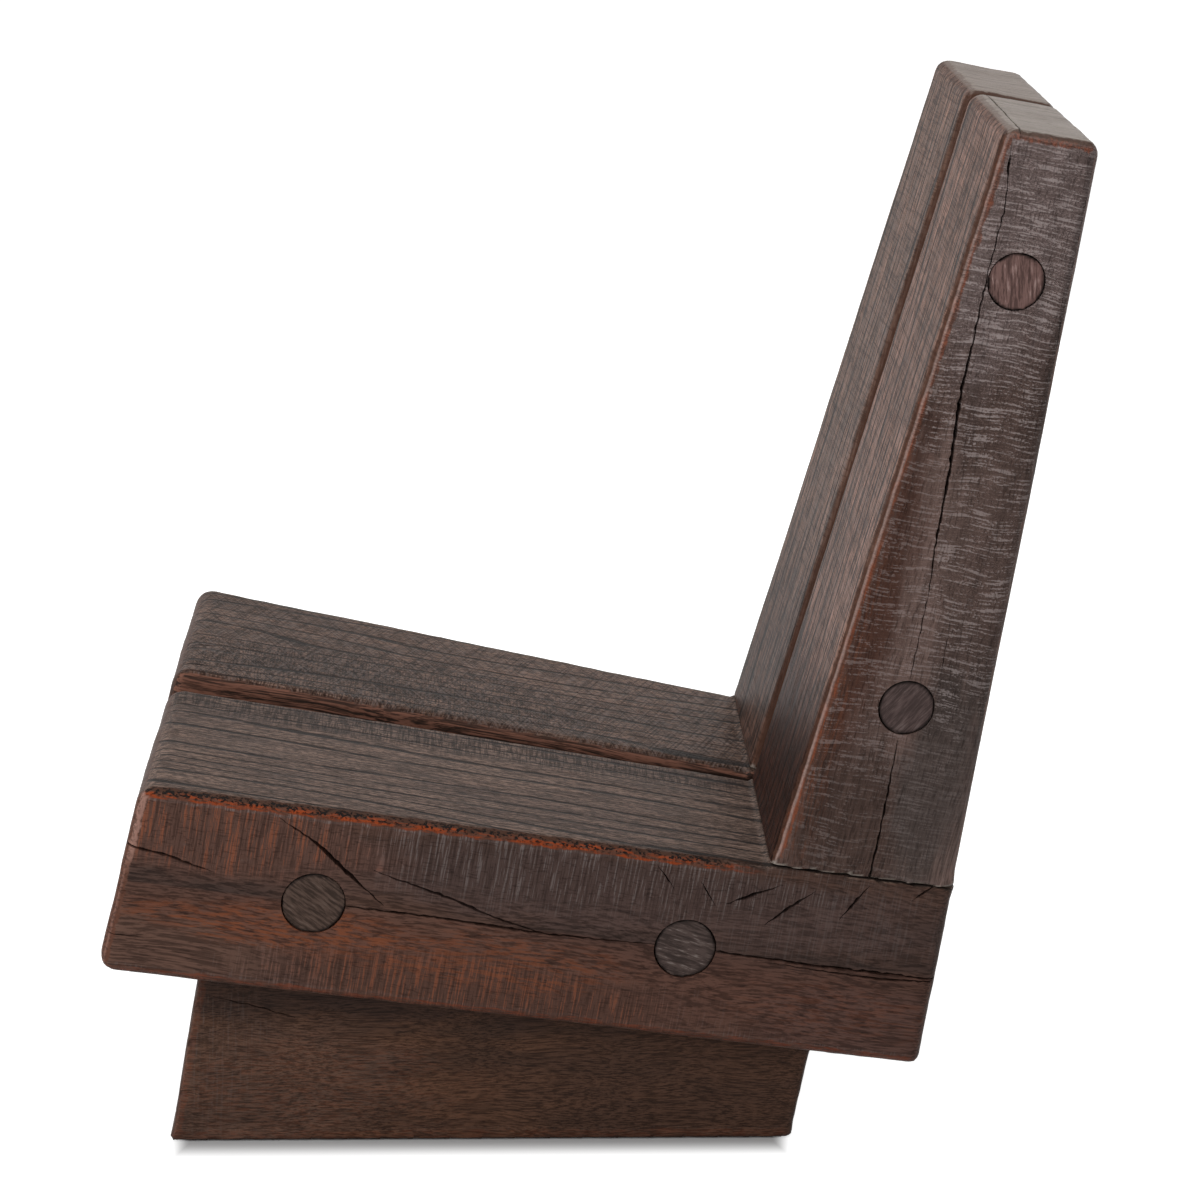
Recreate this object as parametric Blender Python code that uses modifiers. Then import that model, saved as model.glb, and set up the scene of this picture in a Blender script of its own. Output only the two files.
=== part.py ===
"""Occasional chair built from six heavy timbers.

Two wedge-shaped seat timbers lie side by side and fall toward the rear. Two back timbers stand on
their rear ends, and two base timbers carry them from below. Thick cross dowels hold each pair
together. Hidden tenon dowels and lag bolts join the back to the seat and the base to the seat.

Metres, +Z up. The front of the chair is at -X, the sitter's left at -Y.
"""

import math

import bmesh
import bpy
from mathutils import Euler, Vector

# Seat, seen from the side
SEAT_TILT = math.radians(7.2)
SEAT_FRONT_HEIGHT = 0.3207
SEAT_SIT_LENGTH = 0.5075
SEAT_TIMBER_DEPTH = 0.1613
SEAT_FRONT_LEAN = math.radians(11.1)

# Back, seen from the side
BACK_FOOT_LENGTH = 0.1574
BACK_REAR_HEIGHT = 0.6173
BACK_FRONT_LEAN = math.radians(12.5)
REAR_LEAN = math.radians(5.3)

# Plan: both outer sides and the gap narrow toward the rear
FRONT_WIDTH = 0.541
REAR_WIDTH = 0.388
FRONT_GAP = 0.0435
REAR_GAP = 0.004

# Base
BASE_FRONT_SETBACK = 0.0282
BASE_LENGTH = 0.5174
BASE_FRONT_LEAN = math.radians(7.2)
BASE_REAR_LEAN = math.radians(7.6)
BASE_SIDE_INSET = 0.027

# Rounded edges
EDGE_ROUND = 0.008
SEAT_FRONT_ROUND = 0.016
BASE_EDGE_ROUND = 0.006
ROUND_SEGMENTS = 3

# Cross dowels, at the middle of the timbers they tie
SEAT_DOWEL_RADIUS = 0.0255
SEAT_DOWEL_FRONT = 0.1505
SEAT_DOWEL_REAR = 0.454
BACK_DOWEL_RADIUS = 0.023
BACK_DOWEL_LOWER = 0.148
BACK_DOWEL_UPPER = 0.501
DOWEL_SIDES = 40

# Blind tenon dowels between each back timber and its seat timber
TENON_RADIUS = 0.015
TENON_LENGTH = 0.140
TENON_FROM_FRONT = 0.060
TENON_SPACING = 0.070
TENON_SIDES = 24

# Lag bolts and washers
BOLT_SHANK_RADIUS = 0.006
BOLT_POINT_LENGTH = 0.010
BOLT_HEAD_ACROSS_FLATS = 0.019
BOLT_HEAD_HEIGHT = 0.008
BOLT_SIDES = 12
WASHER_RADIUS = 0.015
WASHER_THICKNESS = 0.003
WASHER_SIDES = 24
COUNTERBORE_RADIUS = 0.018
BACK_BOLT_FROM_REAR = 0.036
BACK_BOLT_GRIP = 0.110
BASE_BOLT_FROM_END = 0.085
BASE_BOLT_GRIP = 0.060
DOWEL_WEB = 0.010

# Clearances
JOINT_CLEARANCE = 0.0003
BORE_CLEARANCE = 0.0003
CUT_OVERRUN = 0.010

TIMBER_BROWN = (0.085, 0.042, 0.030, 1.0)
TIMBER_RED = (0.105, 0.040, 0.026, 1.0)
TIMBER_DARK = (0.070, 0.040, 0.032, 1.0)
DOWEL_BROWN = (0.060, 0.040, 0.032, 1.0)
TENON_TAN = (0.300, 0.190, 0.110, 1.0)
STEEL_GREY = (0.420, 0.420, 0.430, 1.0)

LEFT = -1
RIGHT = 1


def seat_point(along, below):
    """X and Z of a point measured along the seat top from its front corner, and square below it."""
    x = along * math.cos(SEAT_TILT) - below * math.sin(SEAT_TILT)
    z = SEAT_FRONT_HEIGHT - along * math.sin(SEAT_TILT) - below * math.cos(SEAT_TILT)
    return x, z


# Stations measured along the seat top
FOOT_START = SEAT_SIT_LENGTH
FOOT_END = SEAT_SIT_LENGTH + BACK_FOOT_LENGTH
SEAT_FRONT_BOTTOM = -SEAT_TIMBER_DEPTH * math.tan(SEAT_FRONT_LEAN - SEAT_TILT)


def back_face(above):
    """Station of the back's front face at a height square above the seat top."""
    return FOOT_START + above * math.tan(BACK_FRONT_LEAN - SEAT_TILT)


def rear_face(above):
    """Station of the chair's rear face at a height square above the seat top."""
    return FOOT_END - above * math.tan(SEAT_TILT - REAR_LEAN)


REARMOST_X = seat_point(rear_face(BACK_REAR_HEIGHT), -BACK_REAR_HEIGHT)[0]


def outer_half_width(x):
    """Half of the chair's width at a distance x behind the seat's front corner."""
    return (FRONT_WIDTH + (REAR_WIDTH - FRONT_WIDTH) * x / REARMOST_X) / 2


def inner_half_width(x):
    """Half of the gap between the paired timbers at a distance x behind the front corner."""
    return (FRONT_GAP + (REAR_GAP - FRONT_GAP) * x / REARMOST_X) / 2


def middle_half_width(x):
    """Distance of a seat or back timber's own middle from the centre plane."""
    return (outer_half_width(x) + inner_half_width(x)) / 2


def seat_bottom_height(x):
    """Height of the seat's underside above the floor."""
    x0, z0 = seat_point(0.0, SEAT_TIMBER_DEPTH)
    return z0 - (x - x0) * math.tan(SEAT_TILT)


def base_top_corner(bottom_x, lean):
    """Where a leaning end of the base, starting on the floor, meets the seat's underside."""
    top = seat_bottom_height(bottom_x) - JOINT_CLEARANCE / math.cos(SEAT_TILT)
    z = top / (1 + math.tan(lean) * math.tan(SEAT_TILT))
    return bottom_x + z * math.tan(lean), z


def clear_scene():
    for obj in list(bpy.data.objects):
        bpy.data.objects.remove(obj, do_unlink=True)


def new_collection(name):
    collection = bpy.data.collections.new(name)
    bpy.context.scene.collection.children.link(collection)
    return collection


def new_material(name, colour, roughness, metallic):
    material = bpy.data.materials.new(name)
    material.use_nodes = True
    shader = material.node_tree.nodes["Principled BSDF"]
    shader.inputs["Base Color"].default_value = colour
    shader.inputs["Roughness"].default_value = roughness
    shader.inputs["Metallic"].default_value = metallic
    return material


def add_object(name, bm, collection, location, tilt=0.0):
    """Turn a bmesh into a named object at its place, leaning about the Y axis by tilt."""
    mesh = bpy.data.meshes.new(name)
    bm.normal_update()
    bmesh.ops.recalc_face_normals(bm, faces=bm.faces)
    bm.to_mesh(mesh)
    bm.free()
    obj = bpy.data.objects.new(name, mesh)
    obj.location = location
    obj.rotation_euler = Euler((0.0, tilt, 0.0))
    collection.objects.link(obj)
    return obj


def add_part(name, bm, location, colour, roughness, metallic=0.0, tilt=0.0):
    """Add one piece of the chair with its own material, under the chair's root."""
    obj = add_object(name, bm, parts, location, tilt)
    obj.data.materials.append(new_material(name, colour, roughness, metallic))
    obj.data.shade_smooth()
    obj.data.set_sharp_from_angle(angle=math.radians(40))
    obj.parent = root
    return obj


def add_cutter(name, bm, location, tilt=0.0):
    obj = add_object(name, bm, cutters, location, tilt)
    obj.parent = root
    obj.hide_render = True
    obj.display_type = "WIRE"
    return obj


def cut(part, cutter):
    modifier = part.modifiers.new(cutter.name, "BOOLEAN")
    modifier.operation = "DIFFERENCE"
    modifier.solver = "EXACT"
    modifier.object = cutter


def cylinder(radius, depth, sides):
    """A capped cylinder along Z, centred on its own origin."""
    bm = bmesh.new()
    bmesh.ops.create_cone(
        bm, cap_ends=True, segments=sides, radius1=radius, radius2=radius, depth=depth
    )
    return bm


def timber_block(corners, inner, outer, side, origin):
    """A cube whose corners move to a side profile and to the inner and outer planes.

    corners holds X and Z for the low front, low rear, high front and high rear of the profile.
    """
    bm = bmesh.new()
    bmesh.ops.create_cube(bm, size=1.0)
    for vert in bm.verts:
        x, z = corners[(vert.co.z > 0) * 2 + (vert.co.x > 0)]
        half = outer(x) if vert.co.y * side > 0 else inner(x)
        vert.co = Vector((x, side * half, z)) - origin
    return bm


def round_edges(bm, radius_of):
    """Store each edge's rounding radius as a bevel weight, and return the largest radius."""
    layer = bm.edges.layers.float.new("bevel_weight_edge")
    radii = {edge: radius_of(edge) for edge in bm.edges}
    largest = max(radii.values())
    for edge, radius in radii.items():
        edge[layer] = radius / largest
    return largest


def add_rounding(part, largest):
    modifier = part.modifiers.new("Rounded edges", "BEVEL")
    modifier.limit_method = "WEIGHT"
    modifier.width = largest
    modifier.segments = ROUND_SEGMENTS


def is_flat(edge):
    """True for an edge between two faces of the same plane."""
    return edge.calc_face_angle(0.0) < 0.001


def seat_timber(name, side, colour):
    corners = (
        seat_point(SEAT_FRONT_BOTTOM, SEAT_TIMBER_DEPTH),
        seat_point(rear_face(-SEAT_TIMBER_DEPTH), SEAT_TIMBER_DEPTH),
        seat_point(0.0, 0.0),
        seat_point(FOOT_END, 0.0),
    )
    x, z = seat_point(0.0, 0.0)
    origin = Vector((x, 0.0, z))
    bm = timber_block(corners, inner_half_width, outer_half_width, side, origin)

    # The rounding of the top edges stops where the back timber begins to stand on the seat.
    stop_x, stop_z = seat_point(FOOT_START - EDGE_ROUND, 0.0)
    along = Vector((math.cos(SEAT_TILT), 0.0, -math.sin(SEAT_TILT)))
    up = Vector((math.sin(SEAT_TILT), 0.0, math.cos(SEAT_TILT)))
    bmesh.ops.bisect_plane(
        bm,
        geom=bm.verts[:] + bm.edges[:] + bm.faces[:],
        plane_co=Vector((stop_x, 0.0, stop_z)) - origin,
        plane_no=along,
    )
    bm.normal_update()
    stop_along = FOOT_START - EDGE_ROUND

    def radius_of(edge):
        if is_flat(edge):
            return 0.0
        middle = (edge.verts[0].co + edge.verts[1].co) / 2
        run = abs((edge.verts[0].co - edge.verts[1].co).normalized().y)
        on_top = abs(middle.dot(up)) < JOINT_CLEARANCE
        if on_top and middle.dot(along) > stop_along:
            return 0.0
        if run > 0.9 and middle.dot(along) < stop_along / 2:
            return SEAT_FRONT_ROUND
        return EDGE_ROUND

    largest = round_edges(bm, radius_of)
    part = add_part(name, bm, origin, colour, 0.55)
    add_rounding(part, largest)
    return part


def back_timber(name, side, colour):
    corners = (
        seat_point(back_face(JOINT_CLEARANCE), -JOINT_CLEARANCE),
        seat_point(rear_face(JOINT_CLEARANCE), -JOINT_CLEARANCE),
        seat_point(back_face(BACK_REAR_HEIGHT), -BACK_REAR_HEIGHT),
        seat_point(rear_face(BACK_REAR_HEIGHT), -BACK_REAR_HEIGHT),
    )
    x, z = seat_point(FOOT_END, 0.0)
    origin = Vector((x, 0.0, z))
    bm = timber_block(corners, inner_half_width, outer_half_width, side, origin)
    bm.normal_update()
    up = Vector((math.sin(SEAT_TILT), 0.0, math.cos(SEAT_TILT)))

    def radius_of(edge):
        on_foot = all(abs(vert.co.dot(up)) < 2 * JOINT_CLEARANCE for vert in edge.verts)
        return 0.0 if on_foot else EDGE_ROUND

    largest = round_edges(bm, radius_of)
    part = add_part(name, bm, origin, colour, 0.50)
    add_rounding(part, largest)
    return part


def base_timber(name, side, colour):
    front_x = BASE_FRONT_SETBACK
    rear_x = BASE_FRONT_SETBACK + BASE_LENGTH
    corners = (
        (front_x, 0.0),
        (rear_x, 0.0),
        base_top_corner(front_x, BASE_FRONT_LEAN),
        base_top_corner(rear_x, BASE_REAR_LEAN),
    )
    origin = Vector((front_x, 0.0, 0.0))
    bm = timber_block(
        corners, inner_half_width, lambda x: outer_half_width(x) - BASE_SIDE_INSET, side, origin
    )
    bm.normal_update()
    top_normal = Vector((math.sin(SEAT_TILT), 0.0, math.cos(SEAT_TILT)))

    def radius_of(edge):
        on_top = any(face.normal.dot(top_normal) > 0.999 for face in edge.link_faces)
        return 0.0 if on_top else BASE_EDGE_ROUND

    largest = round_edges(bm, radius_of)
    part = add_part(name, bm, origin, colour, 0.60)
    add_rounding(part, largest)
    return part


def cross_dowel(name, x, z, radius, timbers):
    """A dowel right through a pair of timbers, its ends cut flush with their tapered sides."""
    def along_y(shape_radius, overrun):
        bm = cylinder(shape_radius, 1.0, DOWEL_SIDES)
        for vert in bm.verts:
            across = vert.co.x
            reach = outer_half_width(x + across) + overrun
            vert.co = Vector((across, math.copysign(reach, vert.co.z), -vert.co.y))
        return bm

    location = Vector((x, 0.0, z))
    dowel = add_part(name, along_y(radius - BORE_CLEARANCE, 0.0), location, DOWEL_BROWN, 0.65)
    bore = add_cutter(name + "_bore", along_y(radius, CUT_OVERRUN), location)
    for timber in timbers:
        cut(timber, bore)
    return dowel


def tenon_dowel(name, along, y, timbers):
    """A blind dowel, half in the seat timber and half in the back timber."""
    x, z = seat_point(along, -JOINT_CLEARANCE / 2)
    location = Vector((x, y, z))
    body = cylinder(TENON_RADIUS - BORE_CLEARANCE, TENON_LENGTH, TENON_SIDES)
    add_part(name, body, location, TENON_TAN, 0.70, tilt=SEAT_TILT)
    hole = cylinder(TENON_RADIUS, TENON_LENGTH + 2 * BORE_CLEARANCE, TENON_SIDES)
    bore = add_cutter(name + "_bore", hole, location, tilt=SEAT_TILT)
    for timber in timbers:
        cut(timber, bore)


def hexagon_radius(vert):
    """Distance from the bolt's axis to its hexagon head's outline, in the vertex's direction."""
    angle = math.atan2(vert.co.y, vert.co.x)
    from_flat = (angle + math.pi / 6) % (math.pi / 3) - math.pi / 6
    return BOLT_HEAD_ACROSS_FLATS / 2 / math.cos(from_flat)


def extrude_cap(bm, cap):
    """Extrude an end face in place and return the new end face."""
    result = bmesh.ops.extrude_face_region(bm, geom=[cap])
    bmesh.ops.delete(bm, geom=[cap], context="FACES_ONLY")
    return next(item for item in result["geom"] if isinstance(item, bmesh.types.BMFace))


def lag_bolt(name, location, length, tilt):
    """A lag bolt along Z: the head hangs below its origin and the shank rises length above it."""
    straight = length - BOLT_POINT_LENGTH
    bm = cylinder(BOLT_SHANK_RADIUS - BORE_CLEARANCE, straight, BOLT_SIDES)
    bmesh.ops.translate(bm, verts=bm.verts, vec=(0.0, 0.0, straight / 2))
    low_cap = min(bm.faces, key=lambda face: face.calc_center_median().z)
    high_cap = max(bm.faces, key=lambda face: face.calc_center_median().z)

    point = extrude_cap(bm, high_cap)
    for vert in point.verts:
        vert.co = Vector((vert.co.x / 4, vert.co.y / 4, length))

    bearing = extrude_cap(bm, low_cap)
    for vert in bearing.verts:
        flat = Vector((vert.co.x, vert.co.y, 0.0)).normalized()
        vert.co = flat * hexagon_radius(vert)
    head = extrude_cap(bm, bearing)
    for vert in head.verts:
        vert.co.z -= BOLT_HEAD_HEIGHT
    return add_part(name, bm, location, STEEL_GREY, 0.35, 1.0, tilt)


def washer(name, location, tilt):
    """A flat ring along Z, turned from a rectangle, with its upper face at its origin."""
    bm = bmesh.new()
    inner = BOLT_SHANK_RADIUS + BORE_CLEARANCE
    outline = (
        (WASHER_RADIUS, 0.0),
        (WASHER_RADIUS, -WASHER_THICKNESS),
        (inner, -WASHER_THICKNESS),
        (inner, 0.0),
    )
    verts = [bm.verts.new((x, 0.0, z)) for x, z in outline]
    for index, vert in enumerate(verts):
        bm.edges.new((vert, verts[(index + 1) % len(verts)]))
    part = add_part(name, bm, location, STEEL_GREY, 0.40, 1.0, tilt)
    turn = part.modifiers.new("Turned ring", "SCREW")
    turn.axis = "Z"
    turn.angle = math.tau
    turn.steps = WASHER_SIDES
    turn.render_steps = WASHER_SIDES
    turn.use_merge_vertices = True
    turn.merge_threshold = 0.00001
    return part


def bolted_joint(bolt_name, washer_name, seat_at, up, grip, bite, well, timbers, tilt):
    """A lag bolt and washer in a counterbore.

    seat_at is the joint plane on the bolt's axis, grip the wood held below it, bite the shank's
    reach above it, and well the depth of the counterbore below the washer.
    """
    washer_top = seat_at - up * (grip + BORE_CLEARANCE)
    bolt_at = washer_top - up * (WASHER_THICKNESS + BORE_CLEARANCE)
    washer(washer_name, washer_top, tilt)
    reach = grip + bite + WASHER_THICKNESS + BORE_CLEARANCE
    lag_bolt(bolt_name, bolt_at, reach, tilt)

    # One stepped cutter: the wide counterbore below, the shank's bore above it.
    bore_length = grip + bite + 2 * BORE_CLEARANCE
    bm = cylinder(BOLT_SHANK_RADIUS, bore_length, BOLT_SIDES)
    bmesh.ops.translate(bm, verts=bm.verts, vec=(0.0, 0.0, bore_length / 2))
    bore = add_cutter(bolt_name + "_bore", bm, seat_at - up * grip, tilt)
    bm = cylinder(COUNTERBORE_RADIUS, well, WASHER_SIDES)
    bmesh.ops.translate(bm, verts=bm.verts, vec=(0.0, 0.0, -well / 2))
    counterbore = add_cutter(bolt_name + "_counterbore", bm, seat_at - up * grip, tilt)
    cut(timbers[0], counterbore)
    for timber in timbers:
        cut(timber, bore)


def centre_on_floor():
    """Move the chair so that the middle of its outline in plan stands over the origin."""
    bpy.context.view_layer.update()
    graph = bpy.context.evaluated_depsgraph_get()
    low = math.inf
    high = -math.inf
    for obj in parts.objects:
        if obj.type != "MESH":
            continue
        shape = obj.evaluated_get(graph)
        for vert in shape.data.vertices:
            x = (shape.matrix_world @ vert.co).x
            low = min(low, x)
            high = max(high, x)
    root.location.x = -(low + high) / 2


clear_scene()
parts = new_collection("occasional_chair")
cutters = new_collection("cutters")
root = bpy.data.objects.new("chair_root", None)
parts.objects.link(root)

seat = {LEFT: seat_timber("seat_timber_left", LEFT, TIMBER_RED)}
seat[RIGHT] = seat_timber("seat_timber_right", RIGHT, TIMBER_BROWN)
back = {LEFT: back_timber("back_timber_left", LEFT, TIMBER_DARK)}
back[RIGHT] = back_timber("back_timber_right", RIGHT, TIMBER_BROWN)
base = {LEFT: base_timber("base_timber_left", LEFT, TIMBER_BROWN)}
base[RIGHT] = base_timber("base_timber_right", RIGHT, TIMBER_DARK)

for name, along in (("seat_dowel_front", SEAT_DOWEL_FRONT), ("seat_dowel_rear", SEAT_DOWEL_REAR)):
    dowel_x, dowel_z = seat_point(along, SEAT_TIMBER_DEPTH / 2)
    cross_dowel(name, dowel_x, dowel_z, SEAT_DOWEL_RADIUS, seat.values())

for name, height in (("back_dowel_lower", BACK_DOWEL_LOWER), ("back_dowel_upper", BACK_DOWEL_UPPER)):
    dowel_x, dowel_z = seat_point((back_face(height) + rear_face(height)) / 2, -height)
    cross_dowel(name, dowel_x, dowel_z, BACK_DOWEL_RADIUS, back.values())

square_up = Vector((math.sin(SEAT_TILT), 0.0, math.cos(SEAT_TILT)))
straight_up = Vector((0.0, 0.0, 1.0))

for side, word in ((LEFT, "left"), (RIGHT, "right")):
    tenon_along = FOOT_START + TENON_FROM_FRONT
    tenon_x = seat_point(tenon_along, 0.0)[0]
    for offset, place in ((TENON_SPACING / 2, "outer"), (-TENON_SPACING / 2, "inner")):
        tenon_y = side * (middle_half_width(tenon_x) + offset)
        tenon_dowel(f"tenon_{word}_{place}", tenon_along, tenon_y, (seat[side], back[side]))

    bolt_x, bolt_z = seat_point(FOOT_END - BACK_BOLT_FROM_REAR, 0.0)
    bolted_joint(
        f"back_bolt_{word}",
        f"back_washer_{word}",
        Vector((bolt_x, side * middle_half_width(bolt_x), bolt_z)),
        square_up,
        BACK_BOLT_GRIP,
        BACK_DOWEL_LOWER - BACK_DOWEL_RADIUS - DOWEL_WEB,
        SEAT_TIMBER_DEPTH - BACK_BOLT_GRIP + CUT_OVERRUN,
        (seat[side], back[side]),
        SEAT_TILT,
    )

    base_ends = (
        ("front", BASE_FRONT_SETBACK + BASE_BOLT_FROM_END),
        ("rear", BASE_FRONT_SETBACK + BASE_LENGTH - BASE_BOLT_FROM_END),
    )
    for place, bolt_x in base_ends:
        base_middle = (outer_half_width(bolt_x) - BASE_SIDE_INSET + inner_half_width(bolt_x)) / 2
        joint_z = seat_bottom_height(bolt_x)
        bolted_joint(
            f"base_bolt_{word}_{place}",
            f"base_washer_{word}_{place}",
            Vector((bolt_x, side * base_middle, joint_z)),
            straight_up,
            BASE_BOLT_GRIP,
            SEAT_TIMBER_DEPTH / 2 - SEAT_DOWEL_RADIUS - DOWEL_WEB,
            joint_z - BASE_BOLT_GRIP + CUT_OVERRUN,
            (base[side], seat[side]),
            0.0,
        )

centre_on_floor()
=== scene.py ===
# %% [markdown]
# # A low chair of six heavy timbers
# The chair is built from old, dark, waxed beams: two lie side by side as the seat, two stand on
# them as the back, two lie below as the base. Thick round dowels run across and show their ends
# on the sides. The packed CAD model comes in first as a fixed frame. Every piece made below is
# placed by the same sizes, so nothing has to be fitted by eye.

# %% Load the packed model
import math
import random

import bpy
import numpy as np
from mathutils import Euler, Matrix, Vector
from mathutils.bvhtree import BVHTree


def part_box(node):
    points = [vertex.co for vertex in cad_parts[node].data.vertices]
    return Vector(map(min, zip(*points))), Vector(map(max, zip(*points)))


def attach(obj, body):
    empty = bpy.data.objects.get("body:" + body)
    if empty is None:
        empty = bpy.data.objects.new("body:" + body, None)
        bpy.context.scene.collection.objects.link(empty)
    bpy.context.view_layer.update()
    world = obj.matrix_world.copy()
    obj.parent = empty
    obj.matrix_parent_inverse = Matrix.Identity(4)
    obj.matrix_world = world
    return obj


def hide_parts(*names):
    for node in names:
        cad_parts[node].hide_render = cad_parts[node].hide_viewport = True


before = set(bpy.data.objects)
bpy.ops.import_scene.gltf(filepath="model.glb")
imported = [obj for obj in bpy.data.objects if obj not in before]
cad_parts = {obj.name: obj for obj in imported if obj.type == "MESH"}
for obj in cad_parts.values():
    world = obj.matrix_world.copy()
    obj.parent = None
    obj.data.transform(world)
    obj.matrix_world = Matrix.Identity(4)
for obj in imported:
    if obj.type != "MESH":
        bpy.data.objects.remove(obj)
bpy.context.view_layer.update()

print("CAD nodes:", len(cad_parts))

# %% [markdown]
# ## The sizes of the chair
# A chair like this is set out on its side view: the seat falls to the rear, and the back leans
# away from it. A point on that view is easiest to give along the seat and square above it, so one
# small function turns such a pair into a place in the room. The front dowel of the CAD model tells
# where the seat's front corner stands.

# %% Side view sizes
SEAT_TILT = math.radians(7.2)
SEAT_FRONT_HEIGHT = 0.3207
SEAT_DEPTH = 0.1613
FRONT_DOWEL = 0.1505
ACROSS = Vector((0, 1, 0))
SEAT_ALONG = Vector((math.cos(SEAT_TILT), 0, -math.sin(SEAT_TILT)))
SEAT_UP = Vector((math.sin(SEAT_TILT), 0, math.cos(SEAT_TILT)))

dowel_low, dowel_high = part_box("seat_dowel_front")
dowel_along = SEAT_ALONG.x * FRONT_DOWEL - SEAT_UP.x * SEAT_DEPTH / 2
FRONT_X = (dowel_low.x + dowel_high.x) / 2 - dowel_along


def seat_point(along, above=0):
    corner = Vector((FRONT_X, 0, SEAT_FRONT_HEIGHT))
    return corner + SEAT_ALONG * along + SEAT_UP * above


print("Seat front corner:", [round(c, 4) for c in seat_point(0)])

# %% [markdown]
# ## The saw cuts
# Seen from above, the chair is a wedge, wider in front, and so is the open gap between its left
# and right timbers. A timber is a block with six flat faces, and each face is one saw cut: a point
# on the cut and the direction that faces out. The faces are called sit (what the sitter touches),
# under, head and tail (the two ends), outer and gap.

# %% Six cuts for each timber
LEFT, RIGHT = -1, 1
FRONT_WIDTH, REAR_WIDTH = 0.541, 0.388
FRONT_GAP, REAR_GAP = 0.0435, 0.004
TAPER_LENGTH = 0.7167088
SIT_LENGTH = 0.5075
FOOT_END = 0.6649
BACK_HEIGHT = 0.6173
CLEARANCE = 0.0003
BASE_FRONT, BASE_REAR = 0.0282, 0.5456
INSETS = {"seat": 0, "back": 0, "base": 0.027}
OUTER_SLOPE = (FRONT_WIDTH - REAR_WIDTH) / 2 / TAPER_LENGTH
GAP_SLOPE = (FRONT_GAP - REAR_GAP) / 2 / TAPER_LENGTH
HEADS = {"seat": math.radians(11.1), "back": math.radians(12.5), "base": math.radians(7.2)}
REAR_LEAN = math.radians(5.3)
BASE_REAR_LEAN = math.radians(7.6)


def leaning(angle, facing):
    return Vector((facing * math.cos(angle), 0, -facing * math.sin(angle)))


def side_cuts(side, inset):
    outer = Vector((FRONT_X, side * (FRONT_WIDTH / 2 - inset), 0))
    gap = Vector((FRONT_X, side * FRONT_GAP / 2, 0))
    return {
        "outer": (outer, Vector((OUTER_SLOPE, side, 0)).normalized()),
        "gap": (gap, Vector((-GAP_SLOPE, -side, 0)).normalized()),
    }


def timber_cuts(kind, side):
    rear = (seat_point(FOOT_END), leaning(REAR_LEAN, 1))
    if kind == "seat":
        cuts = {
            "sit": (seat_point(0), SEAT_UP),
            "under": (seat_point(0, -SEAT_DEPTH), -SEAT_UP),
            "head": (seat_point(0), leaning(HEADS["seat"], -1)),
            "tail": rear,
        }
    elif kind == "back":
        cuts = {
            "sit": (seat_point(SIT_LENGTH), leaning(HEADS["back"], -1)),
            "under": rear,
            "head": (seat_point(0, BACK_HEIGHT), SEAT_UP),
            "tail": (seat_point(0, CLEARANCE), -SEAT_UP),
        }
    else:
        cuts = {
            "sit": (seat_point(0, -SEAT_DEPTH - CLEARANCE), SEAT_UP),
            "under": (Vector((0, 0, 0)), Vector((0, 0, -1))),
            "head": (Vector((FRONT_X + BASE_FRONT, 0, 0)), leaning(HEADS["base"], -1)),
            "tail": (Vector((FRONT_X + BASE_REAR, 0, 0)), leaning(BASE_REAR_LEAN, 1)),
        }
    cuts.update(side_cuts(side, INSETS[kind]))
    return cuts


print("Cuts of a seat timber:", ", ".join(timber_cuts("seat", LEFT)))

# %% [markdown]
# ## Sawing a block
# A beam starts as a plain cube that is larger than the timber. Each bisect cuts it along one plane,
# throws the outside away and closes the cut, just as a saw would.

# %% Saw one block
BLOCK_SIZE, BLOCK_HEIGHT = 1.6, 0.4


def saw(point, normal, through=False):
    """Cuts the active piece along a plane. A cut that goes through only leaves a line of edges."""
    bpy.ops.object.mode_set(mode="EDIT")
    bpy.ops.mesh.select_all(action="SELECT")
    bpy.ops.mesh.bisect(plane_co=point, plane_no=normal, use_fill=not through, clear_outer=not through)
    bpy.ops.object.mode_set(mode="OBJECT")


def saw_block(name, cuts):
    bpy.ops.mesh.primitive_cube_add(size=BLOCK_SIZE, location=(0, 0, BLOCK_HEIGHT))
    block = bpy.context.object
    block.name = name
    bpy.ops.object.transform_apply(location=True, rotation=False, scale=False)
    for point, normal in cuts.values():
        saw(point, normal)
    return block


def distances(points, cuts):
    """How deep each point lies below each cut, one column for each cut."""
    columns = [(np.array(point) - points) @ np.array(normal) for point, normal in cuts.values()]
    return np.stack(columns, axis=1)


def vertex_places(mesh):
    flat = np.zeros(len(mesh.vertices) * 3)
    mesh.vertices.foreach_get("co", flat)
    return flat.reshape(-1, 3)


def apply_modifier(block, kind, **settings):
    bpy.context.view_layer.objects.active = block
    modifier = block.modifiers.new(kind.lower(), kind)
    for name, value in settings.items():
        setattr(modifier, name, value)
    bpy.ops.object.modifier_apply(modifier=modifier.name)


print("A block starts as a cube of", BLOCK_SIZE, "m")

# %% [markdown]
# ## Rounding the edges
# The long edges of the timbers are worn round, the seat's front edges most of all, while the edges
# of a joint stay sharp. A Bevel modifier can read a weight from every edge, so each edge is looked
# up by the two cuts that meet there and gets its own radius.

# %% Round the edges by weight
EDGE_ROUND = {"seat": 0.009, "back": 0.011, "base": 0.006}
FRONT_ROUND, FLOOR_ROUND = 0.016, 0.003
SHARP_FACE = {"seat": None, "back": "tail", "base": "sit"}
FOOT_START = SIT_LENGTH - 0.001
ON_FACE = 0.0001


def along_seat(points):
    return (np.asarray(points) - np.array(seat_point(0))) @ np.array(SEAT_ALONG)


def under_foot(kind, points):
    """Which points of a seat timber lie under the foot of the back."""
    return (kind == "seat") & (along_seat(points) > FOOT_START)


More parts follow.
